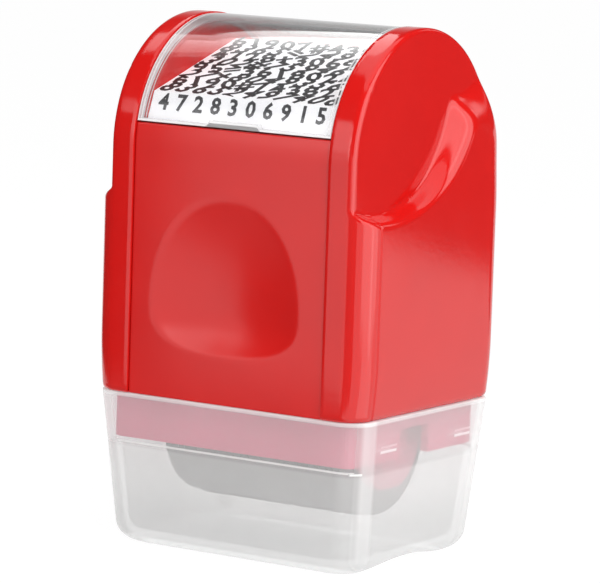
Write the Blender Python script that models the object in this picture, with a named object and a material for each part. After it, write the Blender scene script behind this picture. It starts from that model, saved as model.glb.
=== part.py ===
"""Wide roller stamp standing on its pull-off cap.

The case is two arched side shells with a front and a back panel between them. A clear arched window
lifts off its top and shows a printed card on a sloped tray. A chassis inside carries a cartridge with
an engraved stamp roller and the foam roller that inks it. The chassis ends in a skirt that the cap grips.

Metres, +Z up. The cap's feet stand on z = 0, the rollers turn about X and the front faces -Y.
"""

import math

import bmesh
import bpy
from mathutils import Matrix

# Fits
fit_gap = 0.0003
running_gap = 0.0001
overrun = 0.0020

# Cap
cap_side_step = 0.0003
cap_height = 0.0287
cap_wall = 0.0014
cap_floor = 0.0022
cap_taper = 0.0022
cap_corner_radius = 0.0050
cap_edge_radius = 0.0036
cap_ledge_width = 0.0008
cap_ledge_clearance = 0.0012
cap_arch_rise = 0.0012
cap_arch_half_length = 0.0135
cap_arch_ramp = 0.0095
cap_rib_length = 0.0056
cap_rib_height = 0.0009
cap_rib_reach = 0.0005
cap_rib_drop = 0.0066
cap_rib_inset = 0.0110

# Case
case_width = 0.0600
case_depth = 0.0480
case_wall = 0.0018
case_wall_height = 0.0458
case_corner_radius = 0.0048
case_toe_height = 0.0120
case_toe_inset = 0.0008
case_foot_rise = 0.0010
strip_width = 0.0088
panel_wall = 0.0018
panel_recess = 0.0004
groove_width = 0.0004

# Finger scoop in each side shell
scoop_radius = 0.0280
scoop_depth = 0.0033
scoop_cove_width = 0.0090
scoop_centre_height = 0.0625
scoop_centre_inset = 0.0080
scoop_shelf_height = 0.0553
scoop_corner_radius = 0.0025

# Thumb dimple in each panel
dimple_side_margin = 0.0045
dimple_foot = 0.0088
dimple_belly = 0.0195
dimple_crown = 0.0384
dimple_depth = 0.0022

# Window and its card
window_foot = 0.0049
window_wall = 0.0012
window_rib_width = 0.0008
window_rib_depth = 0.0003
notch_width = 0.0104
notch_height = 0.0007
notch_ramp = 0.0008
card_thickness = 0.0003
card_fold_height = 0.0102
card_ridge_back = 0.0062
card_ridge_drop = 0.0038

# Label tray
tray_wall = 0.0012
tray_base_thickness = 0.0014
tray_base_inset = 0.0090

# Chassis and skirt
skirt_side_inset = 0.0034
skirt_front_inset = 0.0027
skirt_drop = 0.0088
skirt_rise = 0.0060
skirt_wall = 0.0016
skirt_corner_radius = 0.0020
skirt_slot_width = 0.0098
skirt_slot_roof = 0.0034
rail_wall = 0.0014
rail_front_inset = 0.0080
rail_web_thickness = 0.0016

# Cartridge
cheek_wall = 0.0018
cheek_radius = 0.0128
cheek_end_radius = 0.0098
cheek_flat_drop = 0.0093
cheek_end_play = 0.0004
arm_radius = 0.0074
bridge_thickness = 0.0030
bridge_clearance = 0.0012
screw_head_radius = 0.0018
screw_head_height = 0.0008
screw_radius = 0.0009
screw_length = 0.0080
screw_spread = 0.0080

# Rollers
axle_drop = 0.0063
roller_radius = 0.0150
bush_face_clearance = 0.0006
roller_core_radius = 0.0105
roller_disc_thickness = 0.0016
roller_disc_step = 0.0004
stamp_axle_radius = 0.0020
ink_radius = 0.0090
ink_end_inset = 0.0015
ink_core_radius = 0.0052
ink_axle_radius = 0.0016
bush_wall = 0.0010
bush_flange_width = 0.0009
bush_flange_thickness = 0.0006

# Facets
corner_steps = 5
crown_steps = 28
round_steps = 32
cove_steps = 5
fillet_steps = 4
dimple_side_steps = 10
dimple_ring_shares = (0.97, 0.88, 0.72, 0.50, 0.26)
dimple_foot_power_share = 2.6
dimple_crown_power_share = 1.9
smooth_angle = math.radians(35)

# Sizes and places that follow
cap_width = case_width - 2 * cap_side_step
cap_depth = case_depth - 2 * cap_side_step
cap_rib_spread = cap_depth / 2 - cap_rib_inset
case_floor = cap_height + fit_gap
crown_centre = case_floor + case_wall_height
crown_radius = case_depth / 2
panel_width = case_width - 2 * strip_width
shell_inner_x = panel_width / 2 + groove_width
dimple_width = panel_width - 2 * dimple_side_margin
scoop_centre_forward = crown_radius - scoop_centre_inset
window_radius = crown_radius - panel_recess / 2
window_inner_radius = window_radius - window_wall
card_ridge_height = window_inner_radius - card_ridge_drop
card_half_width = panel_width / 2 - window_rib_width - fit_gap
tray_wall_radius = window_inner_radius - window_rib_depth - fit_gap
tray_base_depth = case_depth - 2 * tray_base_inset
skirt_width = case_width - 2 * skirt_side_inset
skirt_depth = case_depth - 2 * skirt_front_inset
rail_depth = case_depth - 2 * rail_front_inset
rail_outer_x = case_width / 2 - scoop_depth - case_wall - fit_gap
rail_inner_x = rail_outer_x - rail_wall
bush_face_x = rail_inner_x - bush_face_clearance
bush_flange_x = bush_face_x - bush_flange_thickness
axle_end_x = bush_flange_x - fit_gap
cheek_outer_x = bush_flange_x - fit_gap
cheek_inner_x = cheek_outer_x - cheek_wall
roller_length = 2 * (cheek_inner_x - cheek_end_play)
ink_length = roller_length - 2 * ink_end_inset
stamp_axis_z = case_floor - axle_drop
ink_axis_z = stamp_axis_z + roller_radius + ink_radius + fit_gap
bridge_floor = ink_axis_z + ink_radius + bridge_clearance

RED = (0.75, 0.015, 0.012, 1.0)
CLEAR = (0.90, 0.93, 0.95, 0.25)
FROSTED = (0.86, 0.87, 0.88, 0.45)
WHITE = (0.86, 0.86, 0.88, 1.0)
GREY = (0.20, 0.20, 0.21, 1.0)
DARK = (0.04, 0.04, 0.045, 1.0)
STEEL = (0.62, 0.63, 0.65, 1.0)


def clear_scene():
    """Removes every object and mesh of the startup scene."""
    for obj in list(bpy.data.objects):
        bpy.data.objects.remove(obj, do_unlink=True)
    for mesh in list(bpy.data.meshes):
        bpy.data.meshes.remove(mesh)


def material(name, colour, roughness, metallic=0.0):
    """A plain Principled material; an alpha under one makes it see-through."""
    made = bpy.data.materials.new(name)
    made.use_nodes = True
    shader = made.node_tree.nodes["Principled BSDF"]
    shader.inputs["Base Color"].default_value = colour
    shader.inputs["Roughness"].default_value = roughness
    shader.inputs["Metallic"].default_value = metallic
    shader.inputs["Alpha"].default_value = colour[3]
    made.diffuse_color = colour
    return made


def link(name, bm, surface=None, parent=None):
    """Turns a bmesh into a named object, in the frame of the empty that carries it."""
    bmesh.ops.recalc_face_normals(bm, faces=bm.faces)
    mesh = bpy.data.meshes.new(name)
    bm.to_mesh(mesh)
    bm.free()
    mesh.shade_smooth()
    mesh.set_sharp_from_angle(angle=smooth_angle)
    obj = bpy.data.objects.new(name, mesh)
    bpy.context.scene.collection.objects.link(obj)
    if surface:
        mesh.materials.append(surface)
    obj.parent = parent
    return obj


def axis_empty(name, location, parent=None):
    """An empty that marks where a moving group turns or slides."""
    empty = bpy.data.objects.new(name, None)
    bpy.context.scene.collection.objects.link(empty)
    empty.location = location
    empty.parent = parent
    return empty


def combine(target, tool, operation):
    """Cuts or joins with a hidden helper that stays on the modifier stack."""
    tool.hide_render = True
    tool.display_type = "WIRE"
    modifier = target.modifiers.new(tool.name, "BOOLEAN")
    modifier.operation = operation
    modifier.object = tool
    modifier.solver = "EXACT"


def loft(rings, cyclic=False):
    """Skins rings of equal length; an open loft gets a flat cap at each end."""
    bm = bmesh.new()
    loops = [[bm.verts.new(point) for point in ring] for ring in rings]
    pairs = list(zip(loops, loops[1:]))
    if cyclic:
        pairs.append((loops[-1], loops[0]))
    else:
        bm.faces.new(loops[0])
        bm.faces.new(loops[-1])
    for low, high in pairs:
        for i in range(len(low)):
            j = (i + 1) % len(low)
            bm.faces.new((low[i], low[j], high[j], high[i]))
    return bm


def prism_x(outline, x_low, x_high):
    """An outline of (y, z) points extruded along X."""
    return loft([[(x, y, z) for y, z in outline] for x in (x_low, x_high)])


def block(x_low, x_high, y_low, y_high, z_low, z_high):
    """A plain box between two corners."""
    outline = [(y_low, z_low), (y_high, z_low), (y_high, z_high), (y_low, z_high)]
    return prism_x(outline, x_low, x_high)


def turned_x(profile, cyclic=False):
    """Turns (x, radius) points about the X axis; a cyclic profile makes a tube."""
    rings = []
    for x, radius in profile:
        angles = [2 * math.pi * i / round_steps for i in range(round_steps)]
        rings.append([(x, radius * math.cos(a), radius * math.sin(a)) for a in angles])
    return loft(rings, cyclic)


def tube_x(x_low, x_high, inner, outer):
    """A plain tube about the X axis."""
    return turned_x([(x_low, inner), (x_low, outer), (x_high, outer), (x_high, inner)], cyclic=True)


def rod_x(x_low, x_high, radius):
    """A plain rod about the X axis."""
    return turned_x([(x_low, radius), (x_high, radius)])


def moved(bm, y=0, z=0):
    """Shifts a bmesh across the X axis."""
    bmesh.ops.transform(bm, matrix=Matrix.Translation((0, y, z)), verts=bm.verts)
    return bm


def rounded_ring(half_x, half_y, radius, z):
    """A rounded rectangle in a level plane."""
    ring = []
    for quarter, (sx, sy) in enumerate(((1, 1), (-1, 1), (-1, -1), (1, -1))):
        for step in range(corner_steps + 1):
            angle = math.pi / 2 * (quarter + step / corner_steps)
            x = sx * (half_x - radius) + radius * math.cos(angle)
            y = sy * (half_y - radius) + radius * math.sin(angle)
            ring.append((x, y, z))
    return ring


def cap_ring(z, inset, radius):
    """A level ring of the cap, which narrows towards its floor."""
    taper = cap_taper * (1 - z / cap_height)
    return rounded_ring(cap_width / 2 - taper - inset, cap_depth / 2 - taper - inset, radius, z)


def cap_rings():
    """The cap's skin, from the middle of its underside over the rim to its inner floor."""
    ledge_z = case_floor - skirt_drop - cap_ledge_clearance
    low_inset = cap_wall + cap_ledge_width
    inner_radius = cap_corner_radius - cap_wall
    rings = []
    for step in range(fillet_steps + 1):
        angle = math.pi / 2 * step / fillet_steps
        inset = cap_edge_radius * (1 - math.sin(angle))
        z = cap_edge_radius * (1 - math.cos(angle))
        rings.append(cap_ring(z, inset, cap_corner_radius))
    rings.append(cap_ring(cap_height, 0, cap_corner_radius))
    rings.append(cap_ring(cap_height, cap_wall, inner_radius))
    rings.append(cap_ring(ledge_z, cap_wall, inner_radius))
    rings.append(cap_ring(ledge_z, low_inset, inner_radius))
    inner_edge = cap_edge_radius - cap_wall
    for step in range(fillet_steps + 1):
        angle = math.pi / 2 * (1 - step / fillet_steps)
        inset = low_inset + inner_edge * (1 - math.sin(angle))
        z = cap_floor + inner_edge * (1 - math.cos(angle))
        rings.append(cap_ring(z, inset, inner_radius))
    return rings


def build_cap(surface):
    """The frosted cap: tapered walls, an inner ledge, snap ribs and an arched foot on each side."""
    cap = link("protective_cap", loft(cap_rings()), surface)
    reach = cap_width
    inner, outer = cap_arch_half_length - cap_arch_ramp, cap_arch_half_length
    arch = [(-outer - overrun, -overrun), (-outer, 0), (-inner, cap_arch_rise)]
    arch += [(-y, z) for y, z in reversed(arch)]
    combine(cap, link("cap_arch_cutter", prism_x(arch, -reach, reach)), "DIFFERENCE")
    rib_z = cap_height - cap_rib_drop
    wall_x = cap_width / 2 - cap_wall - cap_taper * cap_rib_drop / cap_height
    for side in (-1, 1):
        for forward in (-1, 1):
            x_near = side * (wall_x - cap_rib_reach)
            x_far = side * (wall_x + cap_wall / 2)
            y = forward * cap_rib_spread
            rib = block(
                min(x_near, x_far),
                max(x_near, x_far),
                y - cap_rib_length / 2,
                y + cap_rib_length / 2,
                rib_z - cap_rib_height / 2,
                rib_z + cap_rib_height / 2,
            )
            combine(cap, link(f"cap_rib_{side}_{forward}", rib), "UNION")
    return cap


def case_outline(inset, foot):
    """The case's side outline in (y, z), from the back's foot over the crown to the front's foot."""
    half = crown_radius - inset
    toe = [foot + (case_floor + case_toe_height - foot) * i / fillet_steps for i in range(fillet_steps + 1)]
    back = [(half, z) for z in toe]
    crown = []
    for step in range(crown_steps + 1):
        angle = math.pi * step / crown_steps
        crown.append((half * math.cos(angle), crown_centre + half * math.sin(angle)))
    front = [(-y, z) for y, z in reversed(back)]
    return back + crown + front


def pull_in_toe(x, z):
    """The side faces lean in a little over their lowest stretch."""
    height = max(0, case_floor + case_toe_height - z) / case_toe_height
    return x - case_toe_inset * height**2 * (x > shell_inner_x)


def shell_solid(side, stations):
    """A closed solid through (x, inset, foot) stations of the case's outline, capped by rows of quads."""
    rings = []
    for x, inset, foot in stations:
        outline = case_outline(inset, foot)
        rings.append([(side * pull_in_toe(x, z), y, z) for y, z in outline])
    bm = bmesh.new()
    loops = [[bm.verts.new(point) for point in ring] for ring in rings]
    count = len(loops[0])
    for low, high in zip(loops, loops[1:]):
        for i in range(count):
            j = (i + 1) % count
            bm.faces.new((low[i], low[j], high[j], high[i]))
    for loop in (loops[0], loops[-1]):
        for i in range(count // 2 - 1):
            j = count - 1 - i
            bm.faces.new((loop[i], loop[i + 1], loop[j - 1], loop[j]))
        middle = count // 2
        bm.faces.new((loop[middle - 1], loop[middle], loop[middle + 1]))
    return bm


def scoop_ring(x, inset):
    """The scoop's boundary at one depth: a round bowl, a rounded corner and a shelf, closed outside the case."""
    centre_y = -scoop_centre_forward
    centre_z = case_floor + scoop_centre_height
    corner_z = case_floor + scoop_shelf_height - scoop_corner_radius
    span = scoop_radius + scoop_corner_radius
    end_angle = -math.asin((centre_z - corner_z) / span)
    corner_y = centre_y + span * math.cos(end_angle)
    bowl = scoop_radius - inset
    corner = scoop_corner_radius + inset
    start_angle = -math.pi
    points = []
    for step in range(crown_steps + 1):
        angle = start_angle + (end_angle - start_angle) * step / crown_steps
        points.append((x, centre_y + bowl * math.cos(angle), centre_z + bowl * math.sin(angle)))
    corner_start = end_angle + math.pi
    for step in range(1, corner_steps + 1):
        angle = corner_start + (math.pi / 2 - corner_start) * step / corner_steps
        points.append((x, corner_y + corner * math.cos(angle), corner_z + corner * math.sin(angle)))
    far = case_depth
    shelf_z = corner_z + corner
    points.append((x, far, shelf_z))
    points.append((x, far, centre_z + case_depth))
    points.append((x, centre_y - bowl, centre_z + case_depth))
    return points


def scoop_solid(side, growth):
    """The scoop as a solid whose floor blends up to the side face in a cove; growth keeps a wall behind it."""
    cove_radius = (scoop_cove_width**2 + scoop_depth**2) / (2 * scoop_depth)
    face_x = case_width / 2 - growth
    rings = [scoop_ring(side * (case_width / 2 + overrun), -growth)]
    for step in range(cove_steps + 1):
        inset = scoop_cove_width * step / cove_steps
        rise = cove_radius - math.sqrt(cove_radius**2 - (scoop_cove_width - inset) ** 2)
        rings.append(scoop_ring(side * (face_x - scoop_depth + rise), inset - growth))
    return loft(rings)


def build_side_shell(name, side, surface):
    """One arched side shell, open towards the panels and at its foot, with a finger scoop."""
    stations = [(shell_inner_x, 0, case_floor)]
    for step in range(fillet_steps + 1):
        angle = math.pi / 2 * step / fillet_steps
        inset = case_corner_radius * (1 - math.cos(angle))
        x = case_width / 2 - case_corner_radius * (1 - math.sin(angle))
        foot = case_floor + case_foot_rise * (1 - math.cos(angle))
        stations.append((x, inset, foot))
    shell = link(name, shell_solid(side, stations), surface)
    side_word = "left" if side < 0 else "right"
    below = case_floor - overrun
    hollow_x = case_width / 2 - case_wall
    hollow_stations = [(shell_inner_x - overrun, case_wall, below), (hollow_x, case_wall, below)]
    hollow = link(f"{side_word}_shell_hollow", shell_solid(side, hollow_stations))
    backing = link(f"{side_word}_scoop_backing", scoop_solid(side, case_wall))
    combine(hollow, backing, "DIFFERENCE")
    combine(shell, hollow, "DIFFERENCE")
    combine(shell, link(f"{side_word}_scoop", scoop_solid(side, 0)), "DIFFERENCE")
    return shell


def dimple_edge(angle):
    """Where a ray from the dimple's middle meets its egg-shaped edge, as an (x, z) offset from the belly."""
    half = dimple_width / 2
    low = angle < 0
    reach = dimple_belly - dimple_foot if low else dimple_crown - dimple_belly
    power = dimple_foot_power_share if low else dimple_crown_power_share
    across, up = abs(math.cos(angle)) / half, abs(math.sin(angle)) / reach
    length = (across**power + up**power) ** (-1 / power)
    return length * math.cos(angle), length * math.sin(angle)


def panel_border():
    """The points round the flat part of a panel, as (x, z), counter-clockwise from its lower left."""
    half = panel_width / 2
    steps = dimple_side_steps
    shares = [i / steps for i in range(steps)]
    border = [(-half + panel_width * share, case_floor) for share in shares]
    border += [(half, case_floor + case_wall_height * share) for share in shares]
    border += [(half - panel_width * share, crown_centre) for share in shares]
    border += [(-half, crown_centre - case_wall_height * share) for share in shares]
    return border


def build_panel(name, side, surface):
    """A panel between the shells, with a thumb dimple and a top edge that follows the crown up to the window."""
    bm = bmesh.new()
    face_y = side * (crown_radius - panel_recess)
    belly_z = case_floor + dimple_belly
    border = panel_border()
    edges = [dimple_edge(math.atan2(z - belly_z, x)) for x, z in border]
    loops = [[bm.verts.new((x, face_y, z)) for x, z in border]]
    loops.append([bm.verts.new((x, face_y, belly_z + z)) for x, z in edges])
    for share in dimple_ring_shares:
        depth = dimple_depth * (1 - share**2)
        loops.append([bm.verts.new((x * share, face_y - side * depth, belly_z + z * share)) for x, z in edges])
    count = len(border)
    for low, high in zip(loops, loops[1:]):
        for i in range(count):
            j = (i + 1) % count
            bm.faces.new((low[i], low[j], high[j], high[i]))
    middle = bm.verts.new((0, face_y - side * dimple_depth, belly_z))
    for i in range(count):
        bm.faces.new((loops[-1][i], loops[-1][(i + 1) % count], middle))
    row = loops[0][2 * dimple_side_steps : 3 * dimple_side_steps + 1]
    radius = crown_radius - panel_recess
    for step in range(1, fillet_steps // 2 + 1):
        rise = (window_foot - fit_gap) * step / (fillet_steps // 2)
        y = side * math.sqrt(radius**2 - rise**2)
        above = [bm.verts.new((vert.co.x, y, crown_centre + rise)) for vert in row]
        for i in range(len(row) - 1):
            bm.faces.new((row[i], row[i + 1], above[i + 1], above[i]))
        row = above
    bmesh.ops.recalc_face_normals(bm, faces=bm.faces)
    lead = max(bm.faces, key=lambda face: face.calc_area())
    thickness = panel_wall if lead.normal.y * side > 0 else -panel_wall
    bmesh.ops.solidify(bm, geom=bm.faces[:], thickness=thickness)
    return link(name, bm, surface)


def swept_about_crown(section, start, steps):
    """Sweeps an (x, radius) section over the crown from one foot angle to its mirror."""
    rings = []
    for step in range(steps + 1):
        angle = start + (math.pi - 2 * start) * step / steps
        y, z = math.cos(angle), math.sin(angle)
        rings.append([(x, radius * y, crown_centre + radius * z) for x, radius in section])
    return loft(rings)


def build_window(surface, parent):
    """The clear arched cover with a rib down each side and a fingernail notch in its front and back edges."""
    half = panel_width / 2
    rib_x = half - window_rib_width
    rib_radius = window_inner_radius - window_rib_depth
    section = [(-half, window_radius), (half, window_radius), (half, rib_radius), (rib_x, rib_radius)]
    section += [(rib_x, window_inner_radius), (-rib_x, window_inner_radius)]
    section += [(-rib_x, rib_radius), (-half, rib_radius)]
    start = math.asin(window_foot / window_radius)
    window = link("window_cover", swept_about_crown(section, start, crown_steps), surface, parent)
    foot_z = crown_centre + window_foot
    low, high = notch_width / 2 + notch_ramp, notch_width / 2
    outline = [(-low, foot_z - overrun), (low, foot_z - overrun), (low, foot_z)]
    outline += [(high, foot_z + notch_height), (-high, foot_z + notch_height), (-low, foot_z)]
    reach = case_depth
    rings = [[(x, y, z) for x, z in outline] for y in (-reach, reach)]
    combine(window, link("window_notch", loft(rings), parent=parent), "DIFFERENCE")
    return window


def card_path():
    """The folded card's top in (y, z): up the window's front, then back and up to the ridge."""
    radius = window_inner_radius - fit_gap
    foot_y = -math.sqrt(radius**2 - window_foot**2)
    fold_y = -math.sqrt(radius**2 - card_fold_height**2)
    path = [(foot_y, window_foot), (fold_y, card_fold_height), (card_ridge_back, card_ridge_height)]
    return [(y, crown_centre + z) for y, z in path]


def offset_path(path, distance):
    """A (y, z) path moved to its right-hand side, with mitred corners."""
    normals = []
    for (y0, z0), (y1, z1) in zip(path, path[1:]):
        length = math.hypot(y1 - y0, z1 - z0)
        normals.append(((z1 - z0) / length, (y0 - y1) / length))
    moved_points = []
    for i, (y, z) in enumerate(path):
        before, after = normals[max(i - 1, 0)], normals[min(i, len(normals) - 1)]
        scale = distance / (1 + before[0] * after[0] + before[1] * after[1])
        moved_points.append((y + (before[0] + after[0]) * scale, z + (before[1] + after[1]) * scale))
    return moved_points


def build_card(surface):
    """The printed card, folded once where it leaves the window's front."""
    top = card_path()
    outline = top + list(reversed(offset_path(top, card_thickness)))
    return link("label_card", prism_x(outline, -card_half_width, card_half_width), surface)


def build_tray(surface):
    """The label tray: a ridged deck between two arched walls, on a base plate that spans the rails."""
    front = card_path()
    back = [(-y, z) for y, z in reversed(front[:2])]
    top = offset_path(front + back, card_thickness + fit_gap)
    under = offset_path(top, tray_wall)
    outline = top + list(reversed(under))
    wall_outer_x = panel_width / 2
    wall_inner_x = card_half_width + fit_gap
    deck_x = (wall_inner_x + wall_outer_x) / 2
    tray = link("label_tray", prism_x(outline, -deck_x, deck_x), surface)
    base_floor = crown_centre + fit_gap
    base_top = base_floor + tray_base_thickness
    foot_z = crown_centre + window_foot
    clear_radius = crown_radius - panel_recess - panel_wall - fit_gap
    foot_y = math.sqrt(clear_radius**2 - window_foot**2)
    start = math.asin((window_foot + fit_gap) / tray_wall_radius)
    side_outline = [(foot_y, base_floor), (foot_y, foot_z)]
    for step in range(crown_steps + 1):
        angle = start + (math.pi - 2 * start) * step / crown_steps
        y, z = math.cos(angle), math.sin(angle)
        side_outline.append((tray_wall_radius * y, crown_centre + tray_wall_radius * z))
    side_outline += [(-foot_y, foot_z), (-foot_y, base_floor)]
    for side in (-1, 1):
        wall = prism_x(side_outline, side * wall_inner_x, side * wall_outer_x)
        combine(tray, link(f"tray_wall_{side}", wall), "UNION")
    half = tray_base_depth / 2
    base = block(-rail_outer_x, rail_outer_x, -half, half, base_floor, base_top)
    combine(tray, link("tray_base", base), "UNION")
    return tray


def build_chassis(surface):
    """The chassis: a skirt tube that the cap grips, and two rails that carry the cartridge and the tray."""
    low, high = case_floor - skirt_drop, case_floor + skirt_rise
    half_x, half_y = skirt_width / 2, skirt_depth / 2
    inner_x, inner_y = half_x - skirt_wall, half_y - skirt_wall
    inner_radius = skirt_corner_radius - skirt_wall
    rings = [
        rounded_ring(half_x, half_y, skirt_corner_radius, low),
        rounded_ring(half_x, half_y, skirt_corner_radius, high),
        rounded_ring(inner_x, inner_y, inner_radius, high),
        rounded_ring(inner_x, inner_y, inner_radius, low),
    ]
    chassis = link("chassis_skirt", loft(rings, cyclic=True), surface)
    slot_roof = case_floor - skirt_slot_roof
    slot = skirt_slot_width / 2
    slot_cutter = block(-case_width, case_width, -slot, slot, low - overrun, slot_roof)
    combine(chassis, link("skirt_slot", slot_cutter), "DIFFERENCE")
    rail = rail_depth / 2
    rail_foot = high - rail_web_thickness
    for side in (-1, 1):
        plate_x = (side * rail_inner_x, side * rail_outer_x)
        plate = block(min(plate_x), max(plate_x), -rail, rail, rail_foot, crown_centre)
        combine(chassis, link(f"rail_plate_{side}", plate), "UNION")
        web_x = (side * rail_inner_x, side * (half_x - skirt_wall / 2))
        web = block(min(web_x), max(web_x), -rail, rail, rail_foot, high)
        combine(chassis, link(f"rail_web_{side}", web), "UNION")
    return chassis


def arm_outline(radius, flat_drop):
    """A cheek's outline in (y, z): a bridge-wide top that narrows to a round end about the stamp axle."""
    top = bridge_floor + bridge_thickness
    shoulder = ink_axis_z
    outline = [(-cheek_radius, shoulder), (-cheek_radius, top), (cheek_radius, top), (cheek_radius, shoulder)]
    end = math.asin(min(1, flat_drop / radius))
    for step in range(corner_steps * 2 + 1):
        angle = -end * step / (corner_steps * 2)
        outline.append((radius * math.cos(angle), stamp_axis_z + radius * math.sin(angle)))
    first = 1 if end >= math.pi / 2 else 0
    for step in range(first, corner_steps * 2 + 1):
        angle = -math.pi + end * (1 - step / (corner_steps * 2))
        outline.append((radius * math.cos(angle), stamp_axis_z + radius * math.sin(angle)))
    return outline


def bush_radius(axle_radius):
    """The outer radius of a bush that runs on this axle."""
    return axle_radius + running_gap + bush_wall


def cut_axle_holes(plate, label, x_low, x_high):
    """Bores a plate for the bushes of both axles."""
    places = (("stamp", stamp_axle_radius, stamp_axis_z), ("ink", ink_axle_radius, ink_axis_z))
    for which, axle_radius, z in places:
        hole = rod_x(x_low - overrun, x_high + overrun, bush_radius(axle_radius) + running_gap)
        combine(plate, link(f"{label}_{which}_hole", moved(hole, z=z)), "DIFFERENCE")


def cut_screw_holes(plate, label, x_low, x_high, radius):
    """Bores a plate for the two screws that hold the right cheek on the bridge."""
    z = bridge_floor + bridge_thickness / 2
    for forward in (-1, 1):
        hole = rod_x(x_low, x_high, radius)
        helper = link(f"{label}_screw_hole_{forward}", moved(hole, y=forward * screw_spread, z=z))
        combine(plate, helper, "DIFFERENCE")


def build_cartridge(surface):
    """The cartridge frame: a bridge over the rollers with the narrow left arm moulded on."""
    arm = prism_x(arm_outline(arm_radius, arm_radius), -cheek_outer_x, -cheek_inner_x)
    frame = link("cartridge_frame", arm, surface)
    bridge = block(
        -cheek_outer_x + cheek_wall / 2,
        cheek_inner_x - fit_gap,
        -cheek_radius + cheek_wall / 2,
        cheek_radius - cheek_wall / 2,
        bridge_floor,
        bridge_floor + bridge_thickness,
    )
    combine(frame, link("bridge_bar", bridge), "UNION")
    cut_axle_holes(frame, "left", -cheek_outer_x, -cheek_inner_x)
    tip = cheek_outer_x - screw_length - overrun
    cut_screw_holes(frame, "bridge", tip, cheek_outer_x, screw_radius + running_gap)
    return frame


def build_right_cheek(surface):
    """The broad right cheek that closes the cartridge over the rollers' ends."""
    outline = arm_outline(cheek_end_radius, cheek_flat_drop)
    cheek = link("cartridge_right_cheek", prism_x(outline, cheek_inner_x, cheek_outer_x), surface)
    cut_axle_holes(cheek, "right", cheek_inner_x, cheek_outer_x)
    low, high = cheek_inner_x - overrun, cheek_outer_x + overrun
    cut_screw_holes(cheek, "cheek", low, high, screw_radius + fit_gap)
    return cheek


def build_cheek_screw(name, forward, surface):
    """A pan-head screw through the right cheek into the bridge."""
    head = cheek_outer_x + fit_gap
    tip = cheek_outer_x - screw_length
    profile = [(tip, screw_radius), (head, screw_radius), (head, screw_head_radius)]
    profile.append((head + screw_head_height, screw_head_radius))
    z = bridge_floor + bridge_thickness / 2
    return link(name, moved(turned_x(profile), y=forward * screw_spread, z=z), surface)


def build_bush(name, side, axle_radius, axis_z, surface):
    """A flanged bush that carries one end of an axle in its cheek and closes over it."""
    bore = axle_radius + running_gap
    outer = bush_radius(axle_radius)
    rim = outer + bush_flange_width
    profile = [(bush_flange_x, bore), (cheek_inner_x, bore), (cheek_inner_x, outer)]
    profile += [(bush_flange_x, outer), (bush_flange_x, rim), (bush_face_x, rim)]
    profile = [(side * x, radius) for x, radius in profile]
    return link(name, moved(turned_x(profile), z=axis_z), surface)


def build_stamp_roller(surfaces, parent):
    """The stamp roller: engraved sleeve, core, end discs and the axle that turns with them."""
    disc_inner_x = roller_length / 2 - roller_disc_thickness
    sleeve_x = disc_inner_x - fit_gap
    bore = stamp_axle_radius + running_gap
    sleeve = tube_x(-sleeve_x, sleeve_x, roller_core_radius + running_gap, roller_radius)
    link("stamp_rubber_sleeve", sleeve, surfaces["rubber"], parent)
    link("stamp_roller_core", tube_x(-sleeve_x, sleeve_x, bore, roller_core_radius), surfaces["grey"], parent)
    for side, word in ((-1, "left"), (1, "right")):
        ends = (side * disc_inner_x, side * roller_length / 2)
        disc = tube_x(min(ends), max(ends), bore, roller_radius - roller_disc_step)
        link(f"stamp_roller_{word}_disc", disc, surfaces["grey"], parent)
    link("stamp_roller_axle", rod_x(-axle_end_x, axle_end_x, stamp_axle_radius), surfaces["steel"], parent)


def build_ink_roller(surfaces, parent):
    """The ink roller: foam on a core, with the axle that turns with them."""
    half = ink_length / 2
    bore = ink_axle_radius + running_gap
    foam = tube_x(-half, half, ink_core_radius + running_gap, ink_radius)
    link("ink_foam_sleeve", foam, surfaces["foam"], parent)
    core_x = roller_length / 2
    link("ink_roller_core", tube_x(-core_x, core_x, bore, ink_core_radius), surfaces["grey"], parent)
    link("ink_roller_axle", rod_x(-axle_end_x, axle_end_x, ink_axle_radius), surfaces["steel"], parent)


def main():
    """Builds the stamp from the cap upwards."""
    clear_scene()
    red = material("glossy red plastic", RED, 0.16)
    frame_red = material("satin red plastic", RED, 0.35)
    clear = material("clear plastic", CLEAR, 0.05)
    frosted = material("frosted plastic", FROSTED, 0.30)
    paper = material("white card", WHITE, 0.70)
    surfaces = {
        "grey": material("grey plastic", GREY, 0.45),
        "rubber": material("stamp rubber", GREY, 0.60),
        "foam": material("ink foam", DARK, 0.95),
        "steel": material("steel", STEEL, 0.30, 1.0),
    }
    build_cap(frosted)
    build_side_shell("left_side_shell", -1, red)
    build_side_shell("right_side_shell", 1, red)
    build_panel("front_panel", -1, red)
    build_panel("back_panel", 1, red)
    window_slide = axis_empty("window_slide", (0, 0, 0))
    build_window(clear, window_slide)
    build_card(paper)
    build_tray(frame_red)
    build_chassis(frame_red)
    build_cartridge(frame_red)
    build_right_cheek(frame_red)
    build_cheek_screw("cheek_screw_front", -1, surfaces["steel"])
    build_cheek_screw("cheek_screw_back", 1, surfaces["steel"])
    for side, word in ((-1, "left"), (1, "right")):
        build_bush(f"stamp_bush_{word}", side, stamp_axle_radius, stamp_axis_z, frame_red)
        build_bush(f"ink_bush_{word}", side, ink_axle_radius, ink_axis_z, frame_red)
    build_stamp_roller(surfaces, axis_empty("stamp_roller_spin", (0, 0, stamp_axis_z)))
    build_ink_roller(surfaces, axis_empty("ink_roller_spin", (0, 0, ink_axis_z)))


main()
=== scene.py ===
"""Looks of the roller stamp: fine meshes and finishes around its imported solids.

Metres, +Z up. The front faces -Y, the rollers lie along X and the cap's feet stand on z = 0.
"""

import logging
import math
from dataclasses import dataclass, field
from enum import Enum
from functools import partial, partialmethod
from typing import Callable, Sequence

import bmesh
import bpy
from mathutils import Matrix, Quaternion, Vector


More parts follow.
